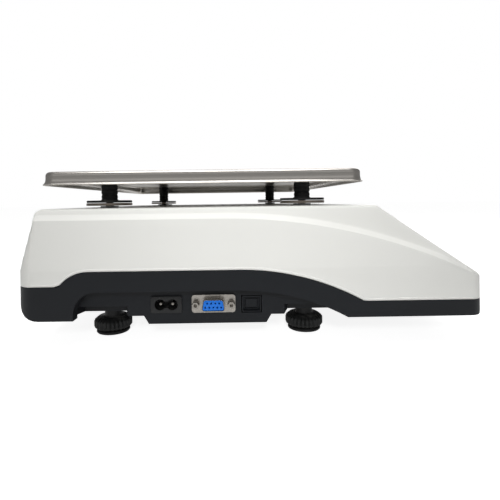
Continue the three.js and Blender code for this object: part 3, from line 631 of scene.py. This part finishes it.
def write(text, size, place, depth, bold=0.0):
    """Figures and signs as a mesh, centred at a place in (x, y, z) and raised by depth."""
    curve = bpy.data.curves.new("figures", "FONT")
    curve.body = text
    curve.size = size
    curve.align_x = "CENTER"
    curve.align_y = "CENTER"
    curve.extrude = depth / 2
    curve.offset = bold
    curve.resolution_u = 3
    shape = bpy.data.objects.new("figures", curve)
    bpy.context.scene.collection.objects.link(shape)
    bpy.context.view_layer.update()
    bm = bmesh.new()
    bm.from_mesh(evaluated_mesh(shape))
    bpy.data.objects.remove(shape)
    bmesh.ops.remove_doubles(bm, verts=bm.verts, dist=0.0005)
    bmesh.ops.translate(bm, vec=place, verts=bm.verts)
    return bm


# ---- Top cover -----------------------------------------------------------------------------------------


def seam_z(y):
    """The height of the cover's lower edge along the side."""
    rear_start = SEAM_REAR_Y + math.sqrt(SEAM_REAR_R**2 - (SEAM_REAR_Z - SEAM_Z + SEAM_REAR_R) ** 2)
    if y >= rear_start:
        return SEAM_REAR_Z
    if y > SEAM_REAR_Y:
        return SEAM_Z - SEAM_REAR_R + math.sqrt(SEAM_REAR_R**2 - (y - SEAM_REAR_Y) ** 2)
    if y > SEAM_FRONT_Y:
        return SEAM_Z
    reach = min(SEAM_FRONT_Y - y, SEAM_FRONT_R)
    drop = SEAM_FRONT_R - math.sqrt(SEAM_FRONT_R**2 - reach**2)
    return max(SEAM_FRONT_Z, SEAM_Z - drop)


def crest_z(y):
    reach = max(0, CREST_Y - y)
    return CREST_Z - CREST_R + math.sqrt(CREST_R**2 - reach**2)


def rear_wall_y(z):
    """Where the rear wall stands at a height. It leans forward from REAR_LEAN_Z up."""
    lean = (REAR_Y - REAR_TOP[0]) / (REAR_TOP[1] - REAR_LEAN_Z)
    return REAR_Y - lean * max(0, z - REAR_LEAN_Z)


def plan_half_width(y, z):
    """Half the body's width at y and a height, with its rounded corners."""
    rear_past = y - (rear_wall_y(z) - REAR_CORNER_R)
    front_past = FRONT_Y + FRONT_CORNER_R - y
    rear_past = min(rear_past, REAR_CORNER_R)
    for r, past in ((REAR_CORNER_R, rear_past), (FRONT_CORNER_R, front_past)):
        if past > 0:
            return SIDE_X - r + math.sqrt(max(0, r**2 - past**2))
    return SIDE_X


def wall_x(z):
    lean = (SIDE_X - CREST_X) / (CREST_Z - DRAFT_START_Z)
    return SIDE_X - lean * max(0, z - DRAFT_START_Z)


def cover_section(y, cap):
    """Half of a slice across the cover at y: up the side wall, over the crest and ledge, to the middle."""
    crest = crest_z(y)
    share = min(1, max(0, (cap - crest) / STEP_HEIGHT))
    seam = seam_z(y)
    draft_z = min(max(DRAFT_START_Z, seam + 1), crest - 2)
    corners = [
        (SIDE_X - 0.35, seam, 0, 1),
        (SIDE_X, seam + 0.5, 0.3, 2),
        (SIDE_X, seam + 1.3, 0.4, 2),
        (SIDE_X - LIP, seam + 1.9, 0.5, 2),
        (wall_x(draft_z) - LIP, max(draft_z, seam + 3), 4, 3),
        (wall_x(crest), max(crest, seam + 6), 0.9, 4),
        (LEDGE_X, crest + LEDGE_RISE * share, 2.4, 5),
        (STEP_X, max(cap, crest), 3.2 * share + 0.05, 6),
        (0, max(cap, crest), 0, 1),
    ]
    path = fillet_path(corners, (1, 1, 1, 2, 4, 2, 3, 14))
    return [(min(x, plan_half_width(y, min(z, cap))), min(z, cap)) for x, z in path]


def cover_stations():
    """Where the cover is sliced: up the front face and the slope, back, and down the rear wall."""
    corners = [
        (FRONT_Y, SEAM_FRONT_Z, 0, 1),
        (FRONT_Y, SLOPE_FOOT_Z, 2.2, 6),
        (SLOPE_TOP_Y, TOP_Z, 5, 6),
        (REAR_TOP[0] - 2.2, TOP_Z, 7, 8),
        (REAR_Y, REAR_LEAN_Z, 6, 8),
        (REAR_Y, SEAM_REAR_Z, 0, 1),
    ]
    return fillet_path(corners, (4, 40, 60, 18, 4))


def top_cover():
    stations = cover_stations()
    sections = []
    for y, cap in stations:
        half = cover_section(y, cap)
        left = [(-x, z) for x, z in half]
        sections.append([(x, y, z) for x, z in left + half[-2::-1]])
    across, along = len(sections[0]) - 1, len(sections) - 1
    bm = bmesh.new()
    bmesh.ops.create_grid(bm, x_segments=across, y_segments=along, size=1)
    for vert in bm.verts:
        column_index = round((vert.co.x + 1) / 2 * across)
        row = round((vert.co.y + 1) / 2 * along)
        vert.co = sections[row][column_index]
    bmesh.ops.remove_doubles(bm, verts=bm.verts, dist=0.02)
    bmesh.ops.dissolve_degenerate(bm, dist=0.02, edges=bm.edges)
    bm.normal_update()
    if max(bm.faces, key=lambda face: face.calc_center_median().z).normal.z < 0:
        bmesh.ops.reverse_faces(bm, faces=bm.faces)
    cutters = [column(*post_place(corner), POST_HOLE_R, 80, 110) for corner in CORNERS]
    level = centre_mm("bubble_level")
    cutters.append(column(level.x, level.y, LEVEL_HOLE_R, 80, 110))
    middle = Vector((0, (SLOPE_TOP_Y + FRONT_Y) / 2, (TOP_Z + SLOPE_FOOT_Z) / 2))
    turn = Matrix.Rotation(SLOPE_ANGLE, 3, "X")
    cutters.append(rounded_block((271, 73, 16), middle, 4.5, 6, turn))
    shell = cut_away(thickened(bm, WALL), cutters)
    for vert in shell.verts:
        vert.co.y = min(REAR_Y, max(FRONT_Y, vert.co.y))
    finish_piece("cover_shell", shell, "top_cover")


def post_place(corner):
    centre = centre_mm("pan_post_" + corner)
    return centre.x, centre.y


# ---- Pan, posts and washers ----------------------------------------------------------------------------

PAN_SHEET = 1.0
RIM_CUTS = (0.05, 0.1, 0.16, 0.25, 0.4, 0.65, 1.0)
PAN_CORNER_R = 11
PAN_EDGE_R = 2.9
RIM = (1.5, 6)  # how far the pan's lower rim turns out, and over what height


def weighing_pan():
    """A folded sheet with rounded corners and edges. Its lower rim turns out a little."""
    low, high = box_mm("weighing_pan")
    size, centre = high - low, (low + high) / 2
    turn_out, rise = RIM
    size_x, size_y = size.x - 2 * turn_out, size.y - 2 * turn_out
    bm = slab(size_x, size_y, low.z, high.z, PAN_CORNER_R - turn_out, centre.x, centre.y, 8)
    soften_rim(bm, high.z, PAN_EDGE_R, 5)
    bottom = [f for f in bm.faces if f.normal.z < -0.9]
    bmesh.ops.delete(bm, geom=bottom, context="FACES")
    for share in RIM_CUTS:
        plane = (0, 0, low.z + rise * share)
        everything = bm.verts[:] + bm.edges[:] + bm.faces[:]
        bmesh.ops.bisect_plane(bm, geom=everything, plane_co=plane, plane_no=(0, 0, 1))
    for vert in bm.verts:
        above = (vert.co.z - low.z) / rise
        if above < 1:
            out = turn_out * (1 - above) ** 4
            flat = Vector((vert.co.x - centre.x, vert.co.y - centre.y))
            vert.co.x += out * 2 * flat.x / size_x
            vert.co.y += out * 2 * flat.y / size_y
    bmesh.ops.recalc_face_normals(bm, faces=bm.faces)
    if max(bm.faces, key=lambda f: f.calc_center_median().z).normal.z < 0:
        bmesh.ops.reverse_faces(bm, faces=bm.faces)
    piece = finish_piece("pan", thickened(bm, PAN_SHEET), "weighing_pan")
    ease(piece, 0.2)


RIBS = 5
RIB_DEPTH = 0.55
POST_NECK_R = 5.55
POST_NECK_FLARE = 0.35
NECK_RISE = 0.7
POST_CAP_DEPTH = 9.5


def pan_post(corner):
    """A rubber post with rounded ribs, on a flange with a fine groove near its edge."""
    low, high = box_mm("pan_post_" + corner)
    radius = (high.x - low.x) / 2
    flange_top = low.z + 1.7
    hole_r = 3.3
    profile = fillet_path(
        [
            (hole_r, low.z, 0, 1),
            (radius, low.z, 0.5, 3),
            (radius, flange_top, 0.6, 3),
            (radius - 2, flange_top, 0, 1),
            (radius - 2.3, flange_top - 0.35, 0.1, 1),
            (radius - 2.7, flange_top, 0, 1),
            (6.9, flange_top + 0.05, 0.4, 3),
            (6.1, flange_top + NECK_RISE, 0, 1),
        ],
        (1, 1, 1, 1, 1, 1, 1),
    )
    span = high.z - flange_top - NECK_RISE
    steps = RIBS * 8
    for step in range(1, steps + 1):
        share = step / steps
        bulge = abs(math.sin(math.pi * share * RIBS)) ** 0.6
        r = POST_NECK_R + POST_NECK_FLARE * share + RIB_DEPTH * bulge
        profile.append((r, flange_top + NECK_RISE + span * share))
    roof = high.z - POST_CAP_DEPTH
    profile += [(3.0, high.z), (0, high.z), (0, roof), (hole_r, roof)]
    bm = turned(profile, 48)
    centre = centre_mm("pan_post_" + corner)
    placed(bm, Matrix.Translation((centre.x, centre.y, 0)))
    finish_piece("rubber_post_" + corner, bm, "pan_post_" + corner, smooth=math.radians(50))


def post_washer(corner):
    low, high = box_mm("post_washer_" + corner)
    centre = (low + high) / 2
    r, ease_r = (high.x - low.x) / 2, 0.35
    hole = 3.4
    profile = fillet_path(
        [
            (hole, centre.z, 0, 1),
            (hole, low.z, 0.3, 2),
            (r, low.z, ease_r, 3),
            (r, high.z, ease_r, 3),
            (hole, high.z, 0.3, 2),
            (hole, centre.z + 0.01, 0, 1),
        ],
        (1, 3, 1, 3, 1),
    )
    bm = turned(profile, 72)
    placed(bm, Matrix.Translation((centre.x, centre.y, 0)))
    finish_piece("washer_" + corner, bm, "post_washer_" + corner)


# ---- Feet ----------------------------------------------------------------------------------------------

FLUTES = 26
FLUTE_DEPTH = 1.2
NECK_R = 6.4
STUD_R = 4
GRIP_TOP = 12


def foot_knob(corner):
    """A fluted hand knob on a threaded stud, built up ring by ring."""
    node = "foot_knob_" + corner
    low, high = box_mm(node)
    centre = (low + high) / 2
    radius = (high.x - low.x) / 2
    neck_top = 19.7
    sides = FLUTES * 6
    rings = [
        (radius - 3.4, low.z, 0),
        (radius - 2.8, low.z + 0.2, 0.2),
        (radius - 0.5, low.z + 1.9, 0.8),
        (radius, low.z + 2.7, 1),
        (radius, GRIP_TOP - 2.9, 1),
        (radius - 0.4, GRIP_TOP - 2.1, 0.9),
        (radius - 2.8, GRIP_TOP - 0.2, 0.3),
        (radius - 3.4, GRIP_TOP, 0),
        (NECK_R + 1.2, GRIP_TOP, 0),
        (NECK_R + 0.3, GRIP_TOP + 0.4, 0),
        (NECK_R, GRIP_TOP + 1.2, 0),
        (NECK_R, neck_top - 0.4, 0),
        (NECK_R - 0.4, neck_top, 0),
        (STUD_R, neck_top, 0),
    ]
    turns = 12
    pitch = 1.25
    for turn in range(turns):
        base = neck_top + 0.4 + turn * pitch
        rings += [(STUD_R, base, 0), (STUD_R - 0.45, base + pitch * 0.5, 0)]
    rings += [(STUD_R - 0.1, high.z - 1, 0), (STUD_R - 0.9, high.z, 0)]
    bm = bmesh.new()
    bmesh.ops.create_circle(bm, segments=sides, radius=1)
    ring_verts = list(bm.verts)
    directions = [v.co.to_2d().normalized() for v in ring_verts]
    edges = list(bm.edges)
    bmesh.ops.contextual_create(bm, geom=edges)
    for index, (r, z, depth) in enumerate(rings):
        if index:
            grown = bmesh.ops.extrude_edge_only(bm, edges=edges)["geom"]
            ring_verts = [v for v in grown if isinstance(v, bmesh.types.BMVert)]
            grown_edges = [e for e in grown if isinstance(e, bmesh.types.BMEdge)]
            edges = [e for e in grown_edges if all(v in set(ring_verts) for v in e.verts)]
            directions = [v.co.to_2d().normalized() for v in ring_verts]
        for vert, direction in zip(ring_verts, directions):
            angle = math.atan2(direction.y, direction.x)
            dip = FLUTE_DEPTH * depth * (0.5 - 0.5 * math.cos(FLUTES * angle)) ** 1.6
            vert.co = (*(direction * (r - dip)), z)
    bmesh.ops.contextual_create(bm, geom=edges)
    placed(bm, Matrix.Translation((centre.x, centre.y, 0)))
    finish_piece("knob_" + corner, bm, node, smooth=math.radians(40))


def foot_pad(corner):
    """A rubber pad with two rings moulded into its underside."""
    low, high = box_mm("foot_pad_" + corner)
    centre = (low + high) / 2
    r = (high.x - low.x) / 2
    profile = fillet_path(
        [
            (0, low.z + 0.5, 0, 1),
            (4, low.z + 0.5, 0.2, 1),
            (4.3, low.z, 0.2, 1),
            (6.5, low.z, 0.2, 1),
            (6.8, low.z + 0.5, 0.2, 1),
            (8.8, low.z + 0.5, 0.2, 1),
            (9.1, low.z, 0.2, 1),
            (r - 0.6, low.z, 0.3, 2),
            (r, low.z + 0.7, 0.3, 2),
            (r, high.z, 0.3, 2),
            (0, high.z, 0, 1),
        ],
        (1,) * 10,
    )
    bm = turned(profile, 64)
    placed(bm, Matrix.Translation((centre.x, centre.y, 0)))
    finish_piece("pad_" + corner, bm, "foot_pad_" + corner)


# ---- Base ----------------------------------------------------------------------------------------------


def base_shell():
    """The base tub, from the merged CAD shape, with its edges eased."""
    bm = bmesh.new()
    bm.from_mesh(NODES["base_housing"].data)
    bmesh.ops.scale(bm, vec=(1 / MM,) * 3, verts=bm.verts)
    bmesh.ops.remove_doubles(bm, verts=bm.verts, dist=0.01)
    bmesh.ops.dissolve_limit(bm, angle_limit=math.radians(0.6), verts=bm.verts, edges=bm.edges)
    piece = finish_piece("base_tub", bm, "base_housing", smooth=math.radians(32))
    ease(piece, 0.45, 2, 40)


def battery_door():
    """The battery's cover, ribbed for a thumb."""
    low, high = box_mm("battery_door")
    centre = (low + high) / 2
    size = high - low
    bm = slab(size.x, size.y, low.z, high.z, 3, centre.x, centre.y)
    soften_rim(bm, low.z, 0.5, 2)
    ribs = []
    for index in range(7):
        ribs.append(slab(22, 1.0, low.z - 5, low.z + 0.7, 0.45, centre.x, low.y + 8 + index * 2.4, 3))
    bm = cut_away(bm, ribs)
    finish_piece("battery_cover", bm, "battery_door")


# ---- Sockets on the left side, and the switch on the right ---------------------------------------------

# Panel places: x to the viewer's right, y up and z out of the panel
LEFT_PANEL = Matrix(((0, 0, -1, 0), (-1, 0, 0, 0), (0, 1, 0, 0), (0, 0, 0, 1)))
RIGHT_PANEL = Matrix(((0, 0, 1, 0), (1, 0, 0, 0), (0, 1, 0, 0), (0, 0, 0, 1)))


def on_left(node, bm):
    """Moves a piece made round the origin of the left panel to a node's place, its outer face flush."""
    low, high = box_mm(node)
    centre = (low + high) / 2
    return placed(bm, Matrix.Translation((low.x, centre.y, centre.z)) @ LEFT_PANEL)


def on_right(node, bm):
    low, high = box_mm(node)
    centre = (low + high) / 2
    return placed(bm, Matrix.Translation((high.x, centre.y, centre.z)) @ RIGHT_PANEL)


def mains_inlet():
    """A figure-of-eight inlet with two pins, flush in its flange."""
    low, high = box_mm("mains_inlet")
    depth = high.x - low.x
    flange = soften_rim(slab(22, 12, -1.2, 0, 1.4), 0, 0.35, 3)
    body = slab(19.6, 10, -depth, -0.6, 1.2)
    mouths = [column(x, 0, 3.9, 3 - depth, 1) for x in (-4.3, 4.3)]
    waist = slab(8.6, 4.6, 3 - depth, 1, 0.3)
    pin_holes = [column(x, 0, 1.6, -depth - 1, 1, 24) for x in (-4.3, 4.3)]
    bm = cut_away(joined_solid(flange, body), [*mouths, waist, *pin_holes])
    ease(finish_piece("mains_socket", on_left("mains_inlet", bm), "mains_inlet"), 0.15, 2, 40)
    for end in ("front", "rear"):
        node = "inlet_pin_" + end
        pin_low, pin_high = box_mm(node)
        length, r = pin_high.x - pin_low.x, (pin_high.y - pin_low.y) / 2
        pin = turned([(0, 0), (0.55 * r, -0.05), (0.85 * r, -0.3), (r, -0.9), (r, -length), (0, -length)], 32)
        finish_piece("socket_pin_" + end, on_left(node, pin), node)


def joined_solid(first, *others):
    """One closed body from overlapping closed bodies."""
    bmesh.ops.recalc_face_normals(first, faces=first.faces)
    return combined(stand_in(first), others, "UNION")


D_SIZE = (17, 8.6)
D_LEAN = math.tan(math.radians(10))
D_CORNER_R = 2.3


def d_shape(inset, z0, z1):
    """The serial socket's D outline, wide side down, set in from the shell's outside."""
    half_x, half_y = D_SIZE[0] / 2 - inset, D_SIZE[1] / 2 - inset
    lean = 2 * half_y * D_LEAN
    points = [(-half_x, -half_y), (half_x, -half_y), (half_x - lean, half_y), (-half_x + lean, half_y)]
    return round_uprights(prism(points, z0, z1), max(0.5, D_CORNER_R - inset), 6)


def serial_socket():
    """A nine-way socket: a pressed plate and shell, a blue insert with its contacts, and two hex pillars."""
    low, high = box_mm("serial_shell")
    out = high.x - low.x
    plate = slab(30.8, 12.5, -out, 0.9 - out, 2, segments=5)
    step = d_shape(-0.7, -out, 1.5 - out)
    shell = soften_rim(d_shape(0, -out, 0), 0, 0.2, 2)
    holes = [d_shape(0.5, -out - 1, 1)]
    holes += [column(x, 0, 1.7, -out - 1, 1 - out + 1, 24) for x in (-12.5, 12.5)]
    bm = cut_away(joined_solid(plate, step, shell), holes)
    ease(finish_piece("serial_shell_plate", on_left("serial_shell", bm), "serial_shell"), 0.12, 2, 40)

    insert_low, insert_high = box_mm("serial_insert")
    length = insert_high.x - insert_low.x
    insert = soften_rim(d_shape(0.8, -length, 0), 0, 0.35, 2)
    contacts = []
    for count, y in ((4, 1.42), (5, -1.42)):
        for index in range(count):
            x = (index - (count - 1) / 2) * 2.77
            contacts.append(column(x, y, 0.62, -6, 1, 20))
            contacts.append(funnel(x, y, 0.95, -0.45))
    bm = cut_away(insert, contacts)
    finish_piece("serial_contacts", on_left("serial_insert", bm), "serial_insert")

    for end in ("front", "rear"):
        node = "serial_screw_" + end
        screw_low, screw_high = box_mm(node)
        length = screw_high.x - screw_low.x
        head = 4.6
        pillar = bmesh.new()
        place = Matrix.Translation((0, 0, -head / 2)) @ Matrix.Rotation(math.radians(30), 4, "Z")
        bmesh.ops.create_cone(
            pillar, cap_ends=True, segments=6, radius1=2.7, radius2=2.7, depth=head, matrix=place
        )
        soften_rim(pillar, 0, 0.35, 2)
        shank = column(0, 0, 1.4, -length, -head + 0.5, 24)
        bores = [column(0, 0, 1.15, -head + 1.2, 1, 32), funnel(0, 0, 1.7, -0.6)]
        bm = cut_away(joined_solid(pillar, shank), bores)
        ease(finish_piece("pillar_screw_" + end, on_left(node, bm), node), 0.12, 2, 40)


def funnel(x, y, r, z):
    """A cone that opens upward, for a countersink from z to just above 0."""
    bm = bmesh.new()
    deep = -z + 0.2
    place = Matrix.Translation((x, y, z + deep / 2))
    bmesh.ops.create_cone(
        bm, cap_ends=True, segments=24, radius1=0.3, radius2=r + 0.2, depth=deep, matrix=place
    )
    return bm


def port_blank():
    """An unused port, closed by a recessed panel."""
    low, high = box_mm("port_blank")
    size, depth = high - low, high.x - low.x
    block = slab(size.y, size.z, -depth, 0, 0.8)
    pocket = slab(size.y - 1.6, size.z - 1.6, -3, 1, 0.9)
    groove = slab(size.y - 4.2, size.z - 4.2, -3.5, 1, 0.6)
    land = slab(size.y - 5.2, size.z - 5.2, -3.3, -2.4, 0.5)
    bm = joined(cut_away(block, [pocket, groove]), land)
    ease(finish_piece("blank_port", on_left("port_blank", bm), "port_blank"), 0.15, 2, 40)


def power_switch():
    """A rocker switch. The rocker is marked with a bar and a ring."""
    low, high = box_mm("switch_body")
    depth = high.x - low.x
    flange = soften_rim(slab(22, 15, -1.6, 0, 1.6), 0, 0.5, 3)
    body = slab(19.6, 12.6, -depth, -0.8, 0.8)
    mouth = slab(17.4, 10.0, -8.6, 1, 0.8)
    bm = cut_away(joined_solid(flange, body), [mouth])
    ease(finish_piece("switch_frame", on_right("switch_body", bm), "switch_body"), 0.15, 2, 40)

    centre = centre_mm("switch_rocker")
    pivot_x = box_mm("switch_body")[1].x - 1.6 - 1
    side = [(-2, -8), (3, -8), (3.35, -4), (3.5, 0), (3.35, 4), (3, 8), (-2, 8), (-4, 0)]
    rocker = prism(side, -4.4, 4.4)
    soften_rim(rocker, 4.4, 0.4, 2)
    soften_rim(rocker, -4.4, 0.4, 2)
    tilt = Matrix.Translation((pivot_x, centre.y, centre.z)) @ Matrix.Rotation(math.radians(-10), 4, "Z")
    bar = slab(0.7, 4.4, 0, 0.35, 0.2, 5)
    ring = ring_mark(-5, 0, 1.5, 0.35)
    lay = Matrix.Translation((3.15, 0, 0)) @ RIGHT_PANEL
    piece = finish_piece("rocker", placed(rocker, tilt), "switch_rocker")
    ease(piece, 0.2)
    marks = placed(joined(bar, ring), tilt @ lay)
    detail("rocker_marks", marks, "switch_rocker", "key_light")


def ring_mark(x, y, r, height):
    line = 0.28
    bm = turned([(r - line, 0), (r + line, 0), (r + line, height), (r - line, height)], 32)
    return placed(bm, Matrix.Translation((x, y, 0)))


# ---- Sloping front: display and keys ------------------------------------------------------------------

SLOPE = Matrix.Translation((0, (SLOPE_TOP_Y + FRONT_Y) / 2, (TOP_Z + SLOPE_FOOT_Z) / 2)) @ Matrix.Rotation(
    SLOPE_ANGLE, 4, "X"
)
FACE_SIZE = (270, 72)
FACE_TOP = 0.5
WINDOW_AT = (-43, 3)
WINDOW_SIZE = (156, 46)
WELL_X = (-51, 0, 51)
KEY_SIZE = (14, 10.4)
KEY_PITCH = (17.5, 14.5)
KEYPAD_X = 92
KEY_TOP = 2.3
KEY_SIGNS = (("7", "8", "9", "+"), ("4", "5", "6", "-"), ("1", "2", "3", "="), ("0", ".", "%", "0"))
READINGS = ("0.000", "0.0000", "0")


def key_places():
    for row in range(4):
        for across in range(4):
            x = KEYPAD_X + (across - 1.5) * KEY_PITCH[0]
            y = (1.5 - row) * KEY_PITCH[1]
            yield row, across, x, y


def face_panel():
    """The front film and its printed frames."""
    plate = soften_rim(slab(*FACE_SIZE, FACE_TOP - 3, FACE_TOP, 4, segments=8), FACE_TOP, 0.4, 3)
    holes = [slab(WINDOW_SIZE[0] + 1, WINDOW_SIZE[1] + 1, -4, 2, 2, *WINDOW_AT)]
    holes += [slab(KEY_SIZE[0] + 1, KEY_SIZE[1] + 1, -4, 2, 1.5, x, y) for _, _, x, y in key_places()]
    bm = placed(cut_away(plate, holes), SLOPE)
    ease(finish_piece("front_film", bm, "face_panel"), 0.15, 2, 40)

    frames = [frame_line(WINDOW_SIZE[0] + 6, WINDOW_SIZE[1] + 6, 3.5, 0.7, *WINDOW_AT)]
    frames.append(frame_line(74, 62, 3.5, 0.7, KEYPAD_X, 0))
    bars = [slab(46, 1.1, FACE_TOP - 0.3, FACE_TOP + 0.06, 0.5, x, -26.5) for x in (-95, -43, 9)]
    detail("film_frames", placed(joined(*frames, *bars), SLOPE), "face_panel", "key_light")


def frame_line(size_x, size_y, r, width, x, y):
    z0, z1 = FACE_TOP - 0.3, FACE_TOP + 0.06
    outer = slab(size_x, size_y, z0, z1, r, x, y)
    inner = slab(size_x - 2 * width, size_y - 2 * width, z0 - 1, z1 + 1, r - width, x, y)
    return cut_away(outer, [inner])


SEGMENTS = {
    "0": "abcdef", "1": "bc", "2": "abged", "3": "abgcd", "4": "fgbc", "5": "afgcd", "6": "afgedc",
    "7": "abc", "8": "abcdefg", "9": "abcdfg",
}


def digit(sign, x, y, width, height, z):
    """A seven-segment figure from thin leaning bars."""
    line = 0.16 * width
    half, mid = width / 2, height / 2
    spans = {
        "a": ((-half, height), (half, height)), "b": ((half, height), (half, mid)),
        "c": ((half, mid), (half, 0)), "d": ((-half, 0), (half, 0)), "e": ((-half, mid), (-half, 0)),
        "f": ((-half, height), (-half, mid)), "g": ((-half, mid), (half, mid)),
    }
    bars = []
    for name in SEGMENTS[sign]:
        (x0, y0), (x1, y1) = spans[name]
        flat = y0 == y1
        size = (abs(x1 - x0) - line * 0.6, line) if flat else (line, abs(y1 - y0) - line * 0.6)
        centre_x, centre_y = (x0 + x1) / 2, (y0 + y1) / 2
        lean = 0.12 * centre_y
        bars.append(slab(*size, z, z + 0.12, line * 0.3, x + centre_x + lean, y + centre_y, 2))
    return bars


def display():
    """Three readings behind a clear window."""
    low_z = -8.9
    top_z = FACE_TOP - 0.2 - 1.5 - 1.5
    module = slab(WINDOW_SIZE[0] - 2, WINDOW_SIZE[1] - 2, low_z, top_z, 1, *WINDOW_AT)
    middle_y = WINDOW_AT[1] + 1
    wells = [slab(48, 30, top_z - 0.5, top_z + 1, 1, WINDOW_AT[0] + dx, middle_y) for dx in WELL_X]
    module = cut_away(module, wells)
    ease(finish_piece("display_glass", placed(module, SLOPE), "display_module"), 0.15, 2, 40)
    bars = []
    for reading, dx in zip(READINGS, WELL_X):
        spot = WINDOW_AT[0] + dx + 18
        for sign in reversed(reading):
            if sign == ".":
                bars.append(slab(1.1, 1.1, top_z - 0.5, top_z - 0.38, 0.4, spot + 4.6, WINDOW_AT[1] - 7.2, 2))
                continue
            bars += digit(sign, spot, WINDOW_AT[1] - 7, 5, 15, top_z - 0.5)
            spot -= 8.3
    detail("display_figures", placed(joined(*bars), SLOPE), "display_module", "socket_black")
    top = FACE_TOP - 0.2
    pane = soften_rim(slab(*WINDOW_SIZE, top - 1.5, top, 2, *WINDOW_AT), top, 0.2, 2)
    finish_piece("display_pane", placed(pane, SLOPE), "display_window")


def keys():
    """Sixteen keys with rounded tops, and their raised figures."""
    for row, across, x, y in key_places():
        node = f"key_{row + 1}_{across + 1}"
        cap = soften_rim(slab(*KEY_SIZE, -5, KEY_TOP, 1.5, x, y), KEY_TOP, 0.9, 4)
        finish_piece(f"cap_{row + 1}_{across + 1}", placed(cap, SLOPE), node)
        sign = write(KEY_SIGNS[row][across], 6.2, (x, y, KEY_TOP), 0.24, 0.06)
        ink = "key_light" if across == 3 else "socket_black"
        detail(f"sign_{row + 1}_{across + 1}", placed(sign, SLOPE), node, ink)


# ---- Bubble level --------------------------------------------------------------------------------------


def bubble_level():
    """A round level: a black case, green liquid with its bubble, and a clear lens with a ring on it."""
    node = "bubble_level"
    low, high = box_mm(node)
    centre = (low + high) / 2
    r = (high.x - low.x) / 2
    lens_r = 6.2
    seat, well, top = lens_r + 0.2, lens_r - 0.4, high.z
    outside = [(0, low.z), (7, low.z), (7, 96.9), (r, 96.9), (r, top - 0.4), (r - 0.4, top), (seat, top)]
    inside = [(seat, top - 1.2), (well, top - 1.4), (well, low.z + 1.2), (0, low.z + 1.2)]
    case = turned(outside + inside, 64)
    liquid_r = lens_r - 0.6
    liquid = turned([(0, low.z + 1.4), (liquid_r, low.z + 1.4), (liquid_r, top - 1.9), (0, top - 1.7)], 48)
    bubble = bmesh.new()
    bmesh.ops.create_uvsphere(bubble, u_segments=32, v_segments=16, radius=2.1)
    bmesh.ops.scale(bubble, vec=(1, 1, 0.12), verts=bubble.verts)
    bmesh.ops.translate(bubble, vec=(0.4, -0.3, high.z - 1.42), verts=bubble.verts)
    lens = [(0, top - 1.1), (lens_r, top - 1.1), (lens_r, top - 0.3), (lens_r - 0.5, top - 0.1), (0, top)]
    lens = turned(lens, 64)
    mark = turned([(2.7, top - 1.28), (3.0, top - 1.28), (3.0, top - 1.16), (2.7, top - 1.16)], 48)
    place = Matrix.Translation((centre.x, centre.y, 0))
    finish_piece("level_case", placed(case, place), node, "knob_black")
    detail("level_liquid", placed(liquid, place), node, "display_green")
    detail("level_bubble", placed(bubble, place), node, "key_light")
    detail("level_lens", placed(lens, place), node, "window_clear")
    detail("level_mark", placed(mark, place), node, "socket_black")


# ---- The scene, piece by piece -------------------------------------------------------------------------

HIDDEN_WORKS = (
    "chassis_plate", "load_cell", "cell_spacer_lower", "cell_spacer_upper", "pan_frame",
    "battery", "transformer", "main_board", "display_board", "key_mat",
)


def dress_hidden_works():
    """The works inside keep their CAD shape, merged and with eased edges."""
    for name in HIDDEN_WORKS:
        node = NODES[name]
        node.data.materials.clear()
        node.data.materials.append(FINISHES[SLOTS[name]])
        weld = node.modifiers.new("weld", "WELD")
        weld.merge_threshold = 0.01 * MM
        ease(node, 0.4, 2, 40)


add_camera()
light_the_scene()
top_cover()
base_shell()
battery_door()
weighing_pan()
for corner in CORNERS:
    pan_post(corner)
    post_washer(corner)
    foot_knob(corner)
    foot_pad(corner)
mains_inlet()
serial_socket()
port_blank()
power_switch()
face_panel()
display()
keys()
bubble_level()
dress_hidden_works()
